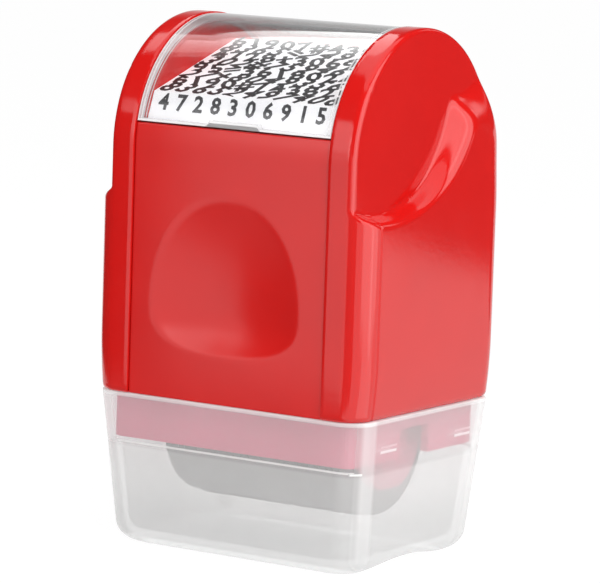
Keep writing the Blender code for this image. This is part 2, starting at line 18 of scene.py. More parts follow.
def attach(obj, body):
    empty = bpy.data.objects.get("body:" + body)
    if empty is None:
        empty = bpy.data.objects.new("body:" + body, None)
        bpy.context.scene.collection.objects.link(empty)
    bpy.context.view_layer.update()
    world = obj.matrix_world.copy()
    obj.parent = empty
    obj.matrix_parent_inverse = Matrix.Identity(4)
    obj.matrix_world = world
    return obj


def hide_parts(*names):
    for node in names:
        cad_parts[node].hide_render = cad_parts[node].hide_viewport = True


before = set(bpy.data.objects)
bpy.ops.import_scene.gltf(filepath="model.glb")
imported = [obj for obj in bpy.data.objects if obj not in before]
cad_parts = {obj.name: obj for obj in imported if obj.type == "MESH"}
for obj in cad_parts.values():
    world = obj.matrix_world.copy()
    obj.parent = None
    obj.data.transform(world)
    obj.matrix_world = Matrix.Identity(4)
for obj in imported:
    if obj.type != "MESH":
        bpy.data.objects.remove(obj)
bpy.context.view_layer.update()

LOG = logging.getLogger("roller_stamp")
MM = 0.001
SHARP_DEGREES = 40.0
BEVEL_DEGREES = 50.0
BEVEL_SEGMENTS = 2
MERGE_DISTANCE = 0.0005 * MM
TONE_SPAN = (0.3, 0.7)
LEAST_FADE = 0.001
Colour = tuple[float, float, float, float]
Sizes = tuple[float, ...]
Sockets = dict[str | int, object]
Material = bpy.types.Material
Shape = bmesh.types.BMesh


class Body(Enum):
    """The rigid bodies that pieces ride on."""

    CAP = "cap"
    STAMP = "stamp_body"
    WINDOW = "window"
    STAMP_ROLLER = "stamp_roller"


class Slot(Enum):
    """The material slots of the record."""

    FROSTED = "frosted_plastic"
    GLOSSY_RED = "glossy_red_plastic"
    CLEAR = "clear_plastic"
    CARD = "card"
    GREY = "grey_plastic"
    RUBBER = "stamp_rubber"


class Value:
    """A shader output that Python arithmetic extends with Math nodes."""

    def __init__(self, graph: "Graph", socket: bpy.types.NodeSocket) -> None:
        """Wraps one output of a node in that graph."""
        self.graph = graph
        self.socket = socket

    def math(self, operation: str, *others: "Value | float") -> "Value":
        """Adds a Math node whose first input is this value."""
        inputs = dict(enumerate((self, *others)))
        return self.graph.node("ShaderNodeMath", {"operation": operation}, inputs)

    __add__ = partialmethod(math, "ADD")
    __sub__ = partialmethod(math, "SUBTRACT")
    __mul__ = partialmethod(math, "MULTIPLY")
    __abs__ = partialmethod(math, "ABSOLUTE")
    larger = partialmethod(math, "MAXIMUM")

    def __rsub__(self, other: float) -> "Value":
        """Subtracts from a number."""
        return (self * -1.0).math("ADD", other)

    def span(self, low: float, high: float) -> "Value":
        """Rises smoothly from 0 at low to 1 at high.

        Args:
            low: Where the result is 0.
            high: Where the result is 1; it may be under low.

        Returns:
            The smooth mask.
        """
        settings = {"interpolation_type": "SMOOTHSTEP", "clamp": True}
        inputs = {"Value": self, "From Min": min(low, high), "From Max": max(low, high)}
        if high < low:
            inputs.update({"To Min": 1.0, "To Max": 0.0})
        return self.graph.node("ShaderNodeMapRange", settings, inputs)

    def near(self, middle: float, outer: float, inner: float) -> "Value":
        """A line: 1 within the inner distance of its middle, and 0 beyond the outer one."""
        return abs(self - middle).span(outer, inner)


class Graph:
    """The node tree of one material, built by calls."""

    def __init__(self, name: str, tree: bpy.types.NodeTree | None = None) -> None:
        """Starts a new material, or takes over the world's tree.

        Args:
            name: The material's name.
            tree: The world's tree, to use in place of a new material's.
        """
        self.material = None
        if tree is None:
            self.material = bpy.data.materials.new(name)
            self.material.use_nodes = True
            tree = self.material.node_tree
        self.tree = tree
        self.tree.nodes.clear()

    def node(
        self,
        kind: str,
        settings: dict | None = None,
        inputs: Sockets | None = None,
        output: str | int = 0,
    ) -> Value:
        """Adds one node.

        Args:
            kind: The node's type.
            settings: Its properties, set first.
            inputs: Values or numbers for its sockets, by name or number.
            output: The output that is wanted.

        Returns:
            That output.
        """
        made = self.tree.nodes.new(kind)
        for name, setting in (settings or {}).items():
            setattr(made, name, setting)
        for key, value in (inputs or {}).items():
            if isinstance(value, Value):
                self.tree.links.new(value.socket, made.inputs[key])
            else:
                made.inputs[key].default_value = value
        return Value(self, made.outputs[output])

    def place(self, scale: Sequence[float] = (1.0, 1.0, 1.0)) -> Value:
        """The piece's own coordinates, stretched along each axis."""
        own = self.node("ShaderNodeTexCoord", output="Object")
        return self.node("ShaderNodeMapping", None, {"Vector": own, "Scale": scale})

    def axes(self, vector: Value) -> tuple[Value, Value, Value]:
        """Splits a vector.

        Args:
            vector: The vector.

        Returns:
            Its three components.
        """
        split = self.node("ShaderNodeSeparateXYZ", None, {0: vector})
        x, y, z = (Value(self, output) for output in split.socket.node.outputs)
        return x, y, z

    def noise(
        self, vector: Value, scale: float, detail: float = 3.0, roughness: float = 0.5
    ) -> Value:
        """A noise from 0 to 1: scale is its cells per metre, and detail its octaves."""
        inputs = {"Vector": vector, "Scale": scale, "Detail": detail, "Roughness": roughness}
        return self.node("ShaderNodeTexNoise", None, inputs)

    def blend(self, share: Value | float, first: Value | Colour, second: Value | Colour) -> Value:
        """Mixes two colours: the share is how much of the second."""
        inputs = {0: share, 6: first, 7: second}
        return self.node("ShaderNodeMix", {"data_type": "RGBA"}, inputs, 2)

    def bump(self, height: Value, depth: float) -> Value:
        """A normal from a height of 0 to 1, which is that deep."""
        return self.node("ShaderNodeBump", None, {"Height": height, "Distance": depth})

    def mix(self, share: Value, first: Value, second: Value) -> Value:
        """Mixes two shaders: the share is how much of the second."""
        return self.node("ShaderNodeMixShader", None, {0: share, 1: first, 2: second})

    def principled(self, inputs: Sockets) -> Material:
        """Ends the tree in one Principled shader and hands over the material."""
        return self.close(self.node("ShaderNodeBsdfPrincipled", None, inputs))

    def close(self, shader: Value) -> Material | None:
        """Ends the tree in its output.

        Args:
            shader: What the output shows.

        Returns:
            The material; nothing for the world's tree.
        """
        kind = "ShaderNodeOutputMaterial" if self.material else "ShaderNodeOutputWorld"
        output = self.tree.nodes.new(kind)
        self.tree.links.new(shader.socket, output.inputs[0])
        return self.material


@dataclass(frozen=True)
class MouldedPlastic:
    """An opaque moulded plastic with faint mottling and orange peel."""

    name: str
    colour: Colour
    shade: Colour
    roughness: float
    roughness_spread: float = 0.04
    peel_scale: float = 900.0
    peel_depth: float = 0.006 * MM
    ior: float = 1.5

    def build(self) -> Material:
        """The material."""
        graph = Graph(self.name)
        place = graph.place()
        mottle = graph.noise(place, scale=45.0, detail=2.0)
        handling = graph.noise(place, scale=160.0, detail=4.0, roughness=0.6)
        peel = graph.noise(place, self.peel_scale, detail=2.0)
        inputs = {
            "Base Color": graph.blend(mottle.span(*TONE_SPAN), self.colour, self.shade),
            "Roughness": (handling - 0.5) * self.roughness_spread * 2.0 + self.roughness,
            "Normal": graph.bump(peel, self.peel_depth),
            "IOR": self.ior,
        }
        return graph.principled(inputs)


@dataclass(frozen=True)
class FrostedPlastic:
    """The cap's see-through frosted plastic, clearer above its ledge and whiter where it is thick.

    Painted light on it: highlights down its upright corners and along its ribs, shade darkening
    it towards its foot, and a faint glow.

    A span says where a mask is 0 and where it is 1. A line says where its middle is, and how far
    from it the mask is 0 and 1.
    """

    name: str = "frosted cap plastic"
    colour: Colour = (0.920, 0.920, 0.915, 1.0)
    shade: Colour = (0.880, 0.880, 0.875, 1.0)
    # painted shade: the tint darkens to this colour towards the cap's foot
    painted_shade_colour: Colour = (0.780, 0.785, 0.780, 1.0)
    painted_shade_span: Sizes = (15.0 * MM, 5.0 * MM)
    roughness: float = 0.28
    roughness_spread: float = 0.1
    grain_depth: float = 0.004 * MM
    ior: float = 1.5
    # painted glow: emission that brightens the cap, which is no lamp
    glow: float = 0.11
    clear_alpha: float = 0.24
    frost_alpha: float = 0.36
    cloud_alpha: float = 0.03
    side_alpha: float = 0.06
    # painted highlight down the upright corners
    upright_highlight_alpha: float = 0.22
    ledge_alpha: float = 0.6
    rim_alpha: float = 0.3
    # painted highlight lines along the ribs, the upper line weaker
    rib_highlight_alpha: float = 0.45
    upper_rib_highlight_share: float = 0.4
    height: float = 28.7 * MM
    taper: float = 2.6 * MM
    frost_span: Sizes = (19.5 * MM, 18.5 * MM)
    side_span: Sizes = (28.1 * MM, 28.5 * MM)
    upright_front: Sizes = (17.0 * MM, 18.4 * MM)
    upright_back: Sizes = (21.8 * MM, 20.6 * MM)
    face_inner: Sizes = (20.7 * MM, 21.1 * MM)
    face_outer: Sizes = (22.9 * MM, 22.5 * MM)
    rim_span: Sizes = (28.0 * MM, 28.4 * MM)
    ledge_line: Sizes = (19.35 * MM, 0.26 * MM, 0.14 * MM)
    rib_line: Sizes = (12.7 * MM, 2.9 * MM, 2.5 * MM)
    # heights of the painted highlight lines along the ribs
    rib_highlight_line: Sizes = (22.9 * MM, 0.34 * MM, 0.16 * MM)
    upper_rib_highlight_line: Sizes = (23.85 * MM, 0.30 * MM, 0.10 * MM)

    def edge_alpha(self, x: Value, y: Value, height: Value) -> Value:
        """How much whiter the plastic is at its rim and ledge, with painted highlights down its
        upright corners and along its ribs.

        Args:
            x: Position across.
            y: Position from front to back.
            height: Height.

        Returns:
            What is added to the alpha.
        """
        lean = (1.0 - height * (1.0 / self.height)) * self.taper
        across, along = abs(x) + lean, abs(y) + lean
        on_side = across.span(*self.side_span)
        # painted highlight down the upright corners
        upright = along.span(*self.upright_front) * along.span(*self.upright_back) * on_side
        on_face = along.span(*self.face_inner) * along.span(*self.face_outer)
        ledge = height.near(*self.ledge_line) * on_face
        rim = height.span(*self.rim_span)
        rib = abs(y).near(*self.rib_line) * on_side
        # painted highlight lines along the ribs
        upper_rib_highlight = height.near(*self.upper_rib_highlight_line) * self.upper_rib_highlight_share
        rib_highlight = height.near(*self.rib_highlight_line) + upper_rib_highlight
        walls = on_side * self.side_alpha + upright * self.upright_highlight_alpha
        return walls + ledge * self.ledge_alpha + rim * self.rim_alpha + rib * rib_highlight * self.rib_highlight_alpha

    def build(self) -> Material:
        """The material."""
        graph = Graph(self.name)
        place = graph.place()
        x, y, height = graph.axes(place)
        cloud = graph.noise(place, scale=90.0)
        grain = graph.noise(place, scale=2600.0, detail=2.0)
        frost = height.span(*self.frost_span)
        alpha = frost * (self.frost_alpha - self.clear_alpha) + self.clear_alpha
        alpha = alpha + (cloud - 0.5) * self.cloud_alpha + self.edge_alpha(x, y, height)
        tint = graph.blend(cloud.span(*TONE_SPAN), self.colour, self.shade)
        # painted shade: darker towards the foot
        tint = graph.blend(height.span(*self.painted_shade_span), tint, self.painted_shade_colour)
        inputs = {
            "Base Color": tint,
            "Roughness": cloud * self.roughness_spread + self.roughness,
            "Alpha": alpha,
            "Normal": graph.bump(grain, self.grain_depth),
            "IOR": self.ior,
            # painted glow: the cap shines in its own tint, painted shade included
            "Emission Color": tint,
            "Emission Strength": self.glow,
        }
        return graph.principled(inputs)


@dataclass(frozen=True)
class ClearPlastic:
    """The window's clear plastic: glossier at grazing angles, and white along its edges, which is a
    painted highlight.

    Spans and lines are those of the frosted plastic.
    """

    name: str = "clear window plastic"
    gloss_colour: Colour = (0.93, 0.94, 0.94, 1.0)
    dust_and_highlight_colour: Colour = (0.93, 0.92, 0.93, 1.0)
    gloss_roughness: float = 0.03
    dust_and_highlight_roughness: float = 0.4
    head_on: float = 0.045
    facing_span: Sizes = (0.40, 0.98)
    dust_span: Sizes = (0.62, 0.75)
    haze: float = 0.006
    # painted highlight: white along the edges, ribs, sides and feet
    outer_highlight_share: float = 0.6
    rib_highlight_share: float = 0.5
    side_highlight_share: float = 0.06
    foot_highlight_share: float = 0.85
    outer_span: Sizes = (20.86 * MM, 21.0 * MM)
    rib_line: Sizes = (20.4 * MM, 0.24 * MM, 0.12 * MM)
    side_span: Sizes = (19.2 * MM, 20.0 * MM)
    foot_span: Sizes = (80.2 * MM, 80.0 * MM)
    notch_span: Sizes = (5.7 * MM, 5.3 * MM)
    notch_rise: float = 0.7 * MM

    def edge_highlight_share(self, x: Value, height: Value) -> Value:
        """How white the plastic is along its side edges, its ribs and its feet: a painted
        highlight.

        Args:
            x: Position across.
            height: Height.

        Returns:
            The share of white painted highlight.
        """
        across = abs(x)
        edges = across.span(*self.outer_span) * self.outer_highlight_share
        ribs = across.near(*self.rib_line) * self.rib_highlight_share
        sides = across.span(*self.side_span) * self.side_highlight_share
        lifted = across.span(*self.notch_span) * self.notch_rise
        feet = (height - lifted).span(*self.foot_span) * self.foot_highlight_share
        return (edges + ribs + sides).larger(feet)

    def build(self) -> Material:
        """The material."""
        graph = Graph(self.name)
        place = graph.place()
        x, _, height = graph.axes(place)
        dust = graph.noise(place, scale=1500.0).span(*self.dust_span)
        facing = graph.node("ShaderNodeLayerWeight", None, {"Blend": 0.5}, "Facing")
        reflect = facing.span(*self.facing_span) * (1.0 - self.head_on) + self.head_on
        smears = graph.noise(place, scale=200.0)
        gloss_inputs = {
            "Base Color": self.gloss_colour,
            "Metallic": 1.0,
            "Roughness": smears * self.gloss_roughness + self.gloss_roughness,
        }
        gloss = graph.node("ShaderNodeBsdfPrincipled", None, gloss_inputs)
        clear = graph.mix(reflect, graph.node("ShaderNodeBsdfTransparent"), gloss)
        # one white shader serves for the dust and for the painted highlight
        haze_inputs = {"Base Color": self.dust_and_highlight_colour, "Roughness": self.dust_and_highlight_roughness}
        haze = graph.node("ShaderNodeBsdfPrincipled", None, haze_inputs)
        # faint dust, plus the painted highlight along the edges
        share = dust * self.haze + self.haze + self.edge_highlight_share(x, height)
        return graph.close(graph.mix(share, clear, haze))


@dataclass(frozen=True)
class SmoothCard:
    """White card with faint fibres and a faint painted glow that brightens it."""

    name: str = "white card"
    colour: Colour = (0.88, 0.88, 0.90, 1.0)
    shade: Colour = (0.80, 0.80, 0.82, 1.0)
    tone_span: Sizes = (0.3, 0.8)
    roughness: float = 0.5
    roughness_spread: float = 0.15
    fibre_depth: float = 0.01 * MM
    fibre_stretch: Sizes = (1.0, 0.35, 0.35)
    # painted glow: emission that brightens the card, which is no lamp
    glow: float = 0.26

    def build(self) -> Material:
        """The material."""
        graph = Graph(self.name)
        along = graph.place(self.fibre_stretch)
        fibres = graph.noise(along, scale=2400.0, detail=4.0, roughness=0.6)
        tone = graph.noise(graph.place(), scale=120.0, detail=2.0)
        inputs = {
            "Base Color": graph.blend(tone.span(*self.tone_span), self.colour, self.shade),
            "Roughness": fibres * self.roughness_spread + self.roughness,
            "Normal": graph.bump(fibres, self.fibre_depth),
            # painted glow
            "Emission Color": self.colour,
            "Emission Strength": self.glow,
        }
        return graph.principled(inputs)


@dataclass(frozen=True)
class PrintInk:
    """Printing ink with slightly uneven cover."""

    name: str
    colour: Colour
    thin: Colour
    thin_span: Sizes = (0.45, 0.8)
    roughness: float = 0.4
    roughness_spread: float = 0.2

    def build(self) -> Material:
        """The material."""
        graph = Graph(self.name)
        cover = graph.noise(graph.place(), scale=1800.0)
        inputs = {
            "Base Color": graph.blend(cover.span(*self.thin_span), self.colour, self.thin),
            "Roughness": cover * self.roughness_spread + self.roughness,
        }
        return graph.principled(inputs)


@dataclass(frozen=True)
class SoftRubber:
    """Matt rubber or foam: pores set how open it is."""

    name: str
    colour: Colour
    shade: Colour
    roughness: float
    pore_scale: float
    pore_depth: float
    roughness_spread: float = 0.1

    def build(self) -> Material:
        """The material."""
        graph = Graph(self.name)
        place = graph.place()
        cells = {"Vector": place, "Scale": self.pore_scale}
        pores = graph.node("ShaderNodeTexVoronoi", {"feature": "F1"}, cells, "Distance")
        tone = graph.noise(place, scale=300.0, detail=4.0, roughness=0.6)
        inputs = {
            "Base Color": graph.blend(tone.span(*TONE_SPAN), self.colour, self.shade),
            "Roughness": tone * self.roughness_spread + self.roughness,
            "Normal": graph.bump(pores, self.pore_depth),
        }
        return graph.principled(inputs)


@dataclass(frozen=True)
class PlainSteel:
    """Turned steel with rings round the X axis."""

    name: str = "turned steel"
    colour: Colour = (0.60, 0.61, 0.63, 1.0)
    shade: Colour = (0.50, 0.51, 0.53, 1.0)
    roughness: float = 0.22
    roughness_spread: float = 0.15
    ring_depth: float = 0.003 * MM
    ring_stretch: Sizes = (1.0, 0.02, 0.02)

    def build(self) -> Material:
        """The material."""
        graph = Graph(self.name)
        rings = graph.noise(graph.place(self.ring_stretch), scale=5000.0)
        inputs = {
            "Base Color": graph.blend(rings, self.colour, self.shade),
            "Metallic": 1.0,
            "Roughness": rings * self.roughness_spread + self.roughness,
            "Normal": graph.bump(rings, self.ring_depth),
        }
        return graph.principled(inputs)


WHITE = (1.0, 1.0, 1.0, 1.0)
REDS = (0.72, 0.0095, 0.0075, 1.0), (0.68, 0.0080, 0.0065, 1.0)
FRAME_REDS = (0.72, 0.018, 0.145, 1.0), (0.68, 0.015, 0.127, 1.0)
GREYS = (0.060, 0.060, 0.064, 1.0), (0.045, 0.045, 0.048, 1.0)
FOAM_BLACKS = (0.02, 0.02, 0.023, 1.0), (0.01, 0.01, 0.012, 1.0)
INK_BLACKS = (0.012, 0.012, 0.014, 1.0), (0.05, 0.05, 0.055, 1.0)
# grey print, partly a painted reflection over the front row
INK_GREYS_AND_PAINTED_REFLECTION = (0.050, 0.050, 0.054, 1.0), (0.10, 0.10, 0.105, 1.0)


class Finishes:
    """Every finish of the stamp, built once."""

    def __init__(self) -> None:
        """Builds the materials."""
        satin = {"roughness_spread": 0.06, "peel_scale": 1500.0, "peel_depth": 0.02 * MM}
        self.glossy_red = MouldedPlastic("glossy red plastic", *REDS, 0.10, ior=1.6).build()
        self.panel_red = MouldedPlastic("panel red plastic", *REDS, 0.17, ior=1.6).build()
        self.satin_red = MouldedPlastic("satin red plastic", *REDS, 0.34, **satin).build()
        self.frame_red = MouldedPlastic("frame red plastic", *FRAME_REDS, 0.34, **satin).build()
        self.grey = MouldedPlastic("grey plastic", *GREYS, 0.42, **satin).build()
        self.frosted = FrostedPlastic().build()
        self.clear = ClearPlastic().build()
        self.card = SmoothCard().build()
        self.ink = PrintInk("print ink", *INK_BLACKS).build()
        # grey print, partly a painted reflection
        self.grey_ink_and_painted_reflection = PrintInk("grey print ink and painted reflection", *INK_GREYS_AND_PAINTED_REFLECTION).build()
        self.rubber = SoftRubber("stamp rubber", *GREYS, 0.55, 2500.0, 0.01 * MM).build()
        self.foam = SoftRubber("ink foam", *FOAM_BLACKS, 0.85, 1400.0, 0.25 * MM).build()
        self.steel = PlainSteel().build()


def share_of(place: float, low: float, high: float) -> float:
    """How far a place is from low (0) to high (1), which may be under low."""
    return min(1.0, max(0.0, (place - low) / (high - low)))


def eased(place: float, low: float, high: float) -> float:
    """How far a place is from low to high, eased at both ends."""
    share = share_of(place, low, high)
    return share * share * (3.0 - 2.0 * share)


def smooth_least(first: float, second: float, width: float) -> float:
    """The smaller of two values, rounded off where they are nearer to each other than the width."""
    near = max(width - abs(first - second), 0.0) / width
    return min(first, second) - near * near * width / 4.0


def link(name: str, data: bpy.types.ID) -> bpy.types.Object:
    """Adds an object to the scene.

    Args:
        name: Its name.
        data: Its mesh, lamp, camera or curve.

    Returns:
        The object.
    """
    made = bpy.data.objects.new(name, data)
    bpy.context.scene.collection.objects.link(made)
    return made


def add_surface(name: str, shape: Shape, finish: Material) -> bpy.types.Object:
    """Adds a bmesh to the scene.

    Args:
        name: The object's name.
        shape: Its mesh in place; it is freed.
        finish: Its material.

    Returns:
        The object.
    """
    mesh = bpy.data.meshes.new(name)
    shape.to_mesh(mesh)
    shape.free()
    mesh.materials.append(finish)
    return link(name, mesh)


def settle(
    name: str,
    shape: Shape,
    finish: Material,
    body: Body,
    slot: Slot,
    node: str | None = None,
    wall: float = 0.0,
    edge: float = 0.0,
) -> None:
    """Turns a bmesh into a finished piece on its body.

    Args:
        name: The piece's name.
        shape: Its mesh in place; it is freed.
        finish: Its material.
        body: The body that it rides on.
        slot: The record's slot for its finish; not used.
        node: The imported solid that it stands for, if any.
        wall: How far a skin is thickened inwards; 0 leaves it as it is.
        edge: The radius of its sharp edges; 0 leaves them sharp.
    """
    piece = add_surface(name, shape, finish)
    piece.data.shade_smooth()
    piece.data.set_sharp_from_angle(angle=math.radians(SHARP_DEGREES))
    if node:
        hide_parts(node)
    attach(piece, body.value)
    if wall:
        solid = piece.modifiers.new("wall", "SOLIDIFY")
        solid.thickness = wall
        solid.offset = -1.0
    if edge:
        bevel = piece.modifiers.new("edges", "BEVEL")
        bevel.width = edge
        bevel.segments = BEVEL_SEGMENTS
        bevel.limit_method = "ANGLE"
        bevel.angle_limit = math.radians(BEVEL_DEGREES)
        bevel.profile = 0.5
    LOG.info("%s: %d faces on %s", name, len(piece.data.polygons), body.value)


def grid(columns: int, rows: int, place: Callable[[int, int], Vector]) -> Shape:
    """A grid whose points are moved to their places on a surface.

    Args:
        columns: Faces across.
        rows: Faces up.
        place: Gives the point of a column and a row.

    Returns:
        The surface, with coinciding points merged.
    """
    shape = bmesh.new()
    bmesh.ops.create_grid(shape, x_segments=columns, y_segments=rows, size=0.5)
    for vert in shape.verts:
        vert.co = place(round((vert.co.x + 0.5) * columns), round((vert.co.y + 0.5) * rows))
    bmesh.ops.remove_doubles(shape, verts=shape.verts, dist=MERGE_DISTANCE)
    return shape


def face_out(shape: Shape, heading: Vector) -> None:
    """Turns a skin so that on the whole it faces a heading.

    Args:
        shape: The skin.
        heading: Outwards.
    """
    bmesh.ops.recalc_face_normals(shape, faces=shape.faces)
    shape.normal_update()
    facing = sum((face.normal * face.calc_area() for face in shape.faces), Vector())
    if facing.dot(heading) < 0.0:
        bmesh.ops.reverse_faces(shape, faces=shape.faces)


@dataclass
class Case:
    """The red case: two side shells with finger scoops, and two panels with thumb dimples.

    A span is a pair of places from front to back, or of heights, between which a size changes.
    """

    finishes: Finishes
    half_width: float = 30.0 * MM
    half_depth: float = 24.0 * MM
    foot: float = 29.0 * MM
    crown_centre: float = 74.8 * MM
    wall: float = 1.8 * MM
    edge: float = 0.2 * MM
    inner_edge: float = 21.5 * MM
    fillet: float = 4.8 * MM
    toe_height: float = 12.0 * MM
    toe_inset: float = 0.8 * MM
    foot_rounding: float = 1.0 * MM
    foot_pull: float = 0.45 * MM
    scoop_centre: Sizes = (-16.0 * MM, 90.0 * MM)
    scoop_reach: Sizes = (29.4 * MM, 25.4 * MM)
    scoop_depth: float = 3.3 * MM
    scoop_deepening: float = 0.6 * MM
    deepening_span: Sizes = (-21.6 * MM, 2.4 * MM)
    scoop_cove: float = 1.4 * MM
    scoop_back_cove: float = 3.9 * MM
    back_cove_span: Sizes = (-8.0 / 3.0 * MM, 32.0 / 3.0 * MM)
    scoop_blend: float = 0.9 * MM
    scoop_corner: float = 2.4 * MM
    scoop_edge: float = 1.9 * MM
    scoop_shelf: float = 81.8 * MM
    shelf_span: Sizes = (12.0 * MM, 22.0 * MM)
    shelf_drop: float = 2.6 * MM
    shelf_cove: float = 9.0 * MM
    crease_at: float = -18.83 * MM
    crease_half: float = 0.37 * MM
    crease_depth: float = 0.45 * MM
    pinch: float = 0.5 * MM
    pinch_span: Sizes = (65.0 * MM, 77.0 * MM)
    panel_half_width: float = 21.38 * MM
    panel_recess: float = 0.4 * MM
    panel_rise: float = 4.6 * MM
    dimple_belly: float = 46.4 * MM
    dimple_centre: float = -0.5 * MM
    dimple_half_width: float = 16.0 * MM
    dimple_low: float = 8.4 * MM
    dimple_high: float = 20.3 * MM
    dimple_depth: float = 1.75 * MM
    dimple_edge: float = 0.2 * MM
    dimple_powers: Sizes = (2.6, 2.1)
    strip_steps: int = 4
    fillet_steps: int = 14
    side_steps: int = 104
    straight_rows: int = 124
    crown_rows: int = 96
    panel_columns: int = 120
    panel_rows: int = 138
    panel_top_rows: int = 10

    @property
    def shell_columns(self) -> int:
        """Faces from a shell's front edge round to its back edge."""
        return 2 * (self.strip_steps + self.fillet_steps) + self.side_steps

    def scoop_height(self, y: float, z: float) -> float:
        """How far out the scoop lets the side face reach.

        Args:
            y: Position from front to back.
            z: Height.

        Returns:
            The scoop's surface as a distance from the middle.
        """
        across = (y - self.scoop_centre[0]) / self.scoop_reach[0]
        up = (z - self.scoop_centre[1]) / self.scoop_reach[1]
        inside_bowl = (1.0 - math.hypot(across, up)) * self.scoop_reach[0]
        on_shelf = eased(y, *self.shelf_span)
        inside_shelf = z - self.scoop_shelf + self.shelf_drop * on_shelf
        inside = -smooth_least(-inside_bowl, -inside_shelf, self.scoop_corner)
        depth = self.scoop_depth + self.scoop_deepening * eased(y, *self.deepening_span)
        widening = (self.scoop_back_cove - self.scoop_cove) * eased(y, *self.back_cove_span)
        shelf_widening = (self.shelf_cove - self.scoop_back_cove) * on_shelf
        cove = self.scoop_cove + widening + shelf_widening
        wall = self.half_width - inside * depth / cove
        return -smooth_least(-wall, depth - self.half_width, self.scoop_blend)

    def shell_point(self, side: int, column: int, row: int) -> Vector:
        """The shell's surface at a column and a row.

        Args:
            side: -1 for the left shell, 1 for the right.
            column: From the front's inner edge round to the back's.
            row: From the foot to the crown.

        Returns:
            The point.
        """
        behind = 1.0 if column * 2 > self.shell_columns else -1.0
        near = min(column, self.shell_columns - column)
        strip_end = self.half_width - self.fillet
        reach, across = self.half_depth, 1.0
        if near <= self.strip_steps:
            x = self.inner_edge + (strip_end - self.inner_edge) * near / self.strip_steps
        elif near <= self.strip_steps + self.fillet_steps:
            angle = math.pi / 2.0 * (near - self.strip_steps) / self.fillet_steps
            x = strip_end + self.fillet * math.sin(angle)
            reach -= self.fillet * (1.0 - math.cos(angle))
        else:
            x = self.half_width
            reach -= self.fillet
            past = near - self.strip_steps - self.fillet_steps
            across = 1.0 - 2.0 * past / self.side_steps
        if row <= self.straight_rows:
            z = self.foot + (self.crown_centre - self.foot) * row / self.straight_rows
            y = behind * reach * across
        else:
            angle = math.pi / 2.0 * (row - self.straight_rows) / self.crown_rows
            z = self.crown_centre + reach * math.sin(angle)
            y = behind * reach * across * math.cos(angle)
        low = share_of(z, self.foot + self.toe_height, self.foot)
        outward = max(0.0, x - self.inner_edge) / (self.half_width - self.inner_edge)
        x -= self.toe_inset * low * low * outward
        in_crease = share_of(abs(y - self.crease_at), self.crease_half, 0.0)
        x -= self.crease_depth * outward * in_crease
        behind_middle = share_of(y, 0.0, self.half_depth)
        x -= self.pinch * outward * eased(z, *self.pinch_span) * behind_middle**2
        x = smooth_least(x, self.scoop_height(y, z), self.scoop_edge)
        at_foot = share_of(z, self.foot + self.foot_rounding, self.foot)
        pull = self.foot_pull * (1.0 - math.sqrt(1.0 - at_foot * at_foot))
        x -= pull * min(1.0, outward * 2.0)
        y -= pull * math.copysign(min(1.0, abs(y) / reach), y) if y else 0.0
        return Vector((side * x, y, z))

    def dimple_depth_at(self, x: float, z: float) -> float:
        """How deep the thumb dimple is at a point of the panel.

        Args:
            x: Position across.
            z: Height.

        Returns:
            The depth.
        """
        up = z - self.dimple_belly
        reach = self.dimple_low if up < 0.0 else self.dimple_high
        power = self.dimple_powers[0 if up < 0.0 else 1]
        across = abs(x - self.dimple_centre) / self.dimple_half_width
        share = (across**power + (abs(up) / reach) ** power) ** (1.0 / power)
        bowl = self.dimple_depth * (1.0 - share * share)
        return max(0.0, -smooth_least(-bowl, 0.0, self.dimple_edge))

    def panel_point(self, side: int, column: int, row: int) -> Vector:
        """The panel's surface at a column and a row.

        Args:
            side: -1 for the front, 1 for the back.
            column: Across the panel.
            row: Up the panel and on over the crown's edge.

        Returns:
            The point.
        """
        x = self.panel_half_width * (2.0 * column / self.panel_columns - 1.0)
        radius = self.half_depth - self.panel_recess
        if row <= self.panel_rows:
            z = self.foot + (self.crown_centre - self.foot) * row / self.panel_rows
            return Vector((x, side * (radius - self.dimple_depth_at(x, z)), z))
        rise = self.panel_rise * (row - self.panel_rows) / self.panel_top_rows
        return Vector((x, side * math.sqrt(radius**2 - rise**2), self.crown_centre + rise))

    def build(self) -> None:
        """Makes both shells and both panels."""
        shell_steps = (self.shell_columns, self.straight_rows + self.crown_rows)
        panel_steps = (self.panel_columns, self.panel_rows + self.panel_top_rows)
        sideways, lengthways = Vector((1.0, 0.0, 0.0)), Vector((0.0, 1.0, 0.0))
        red, panel_red = self.finishes.glossy_red, self.finishes.panel_red
        for side, name, steps, place, axis, finish in (
            (-1, "left_side_shell", shell_steps, self.shell_point, sideways, red),
            (1, "right_side_shell", shell_steps, self.shell_point, sideways, red),
            (-1, "front_panel", panel_steps, self.panel_point, lengthways, panel_red),
            (1, "back_panel", panel_steps, self.panel_point, lengthways, panel_red),
        ):
            shape = grid(*steps, partial(place, side))
            face_out(shape, axis * side)
            slot = Slot.GLOSSY_RED
            settle(f"{name}_skin", shape, finish, Body.STAMP, slot, name, self.wall, self.edge)


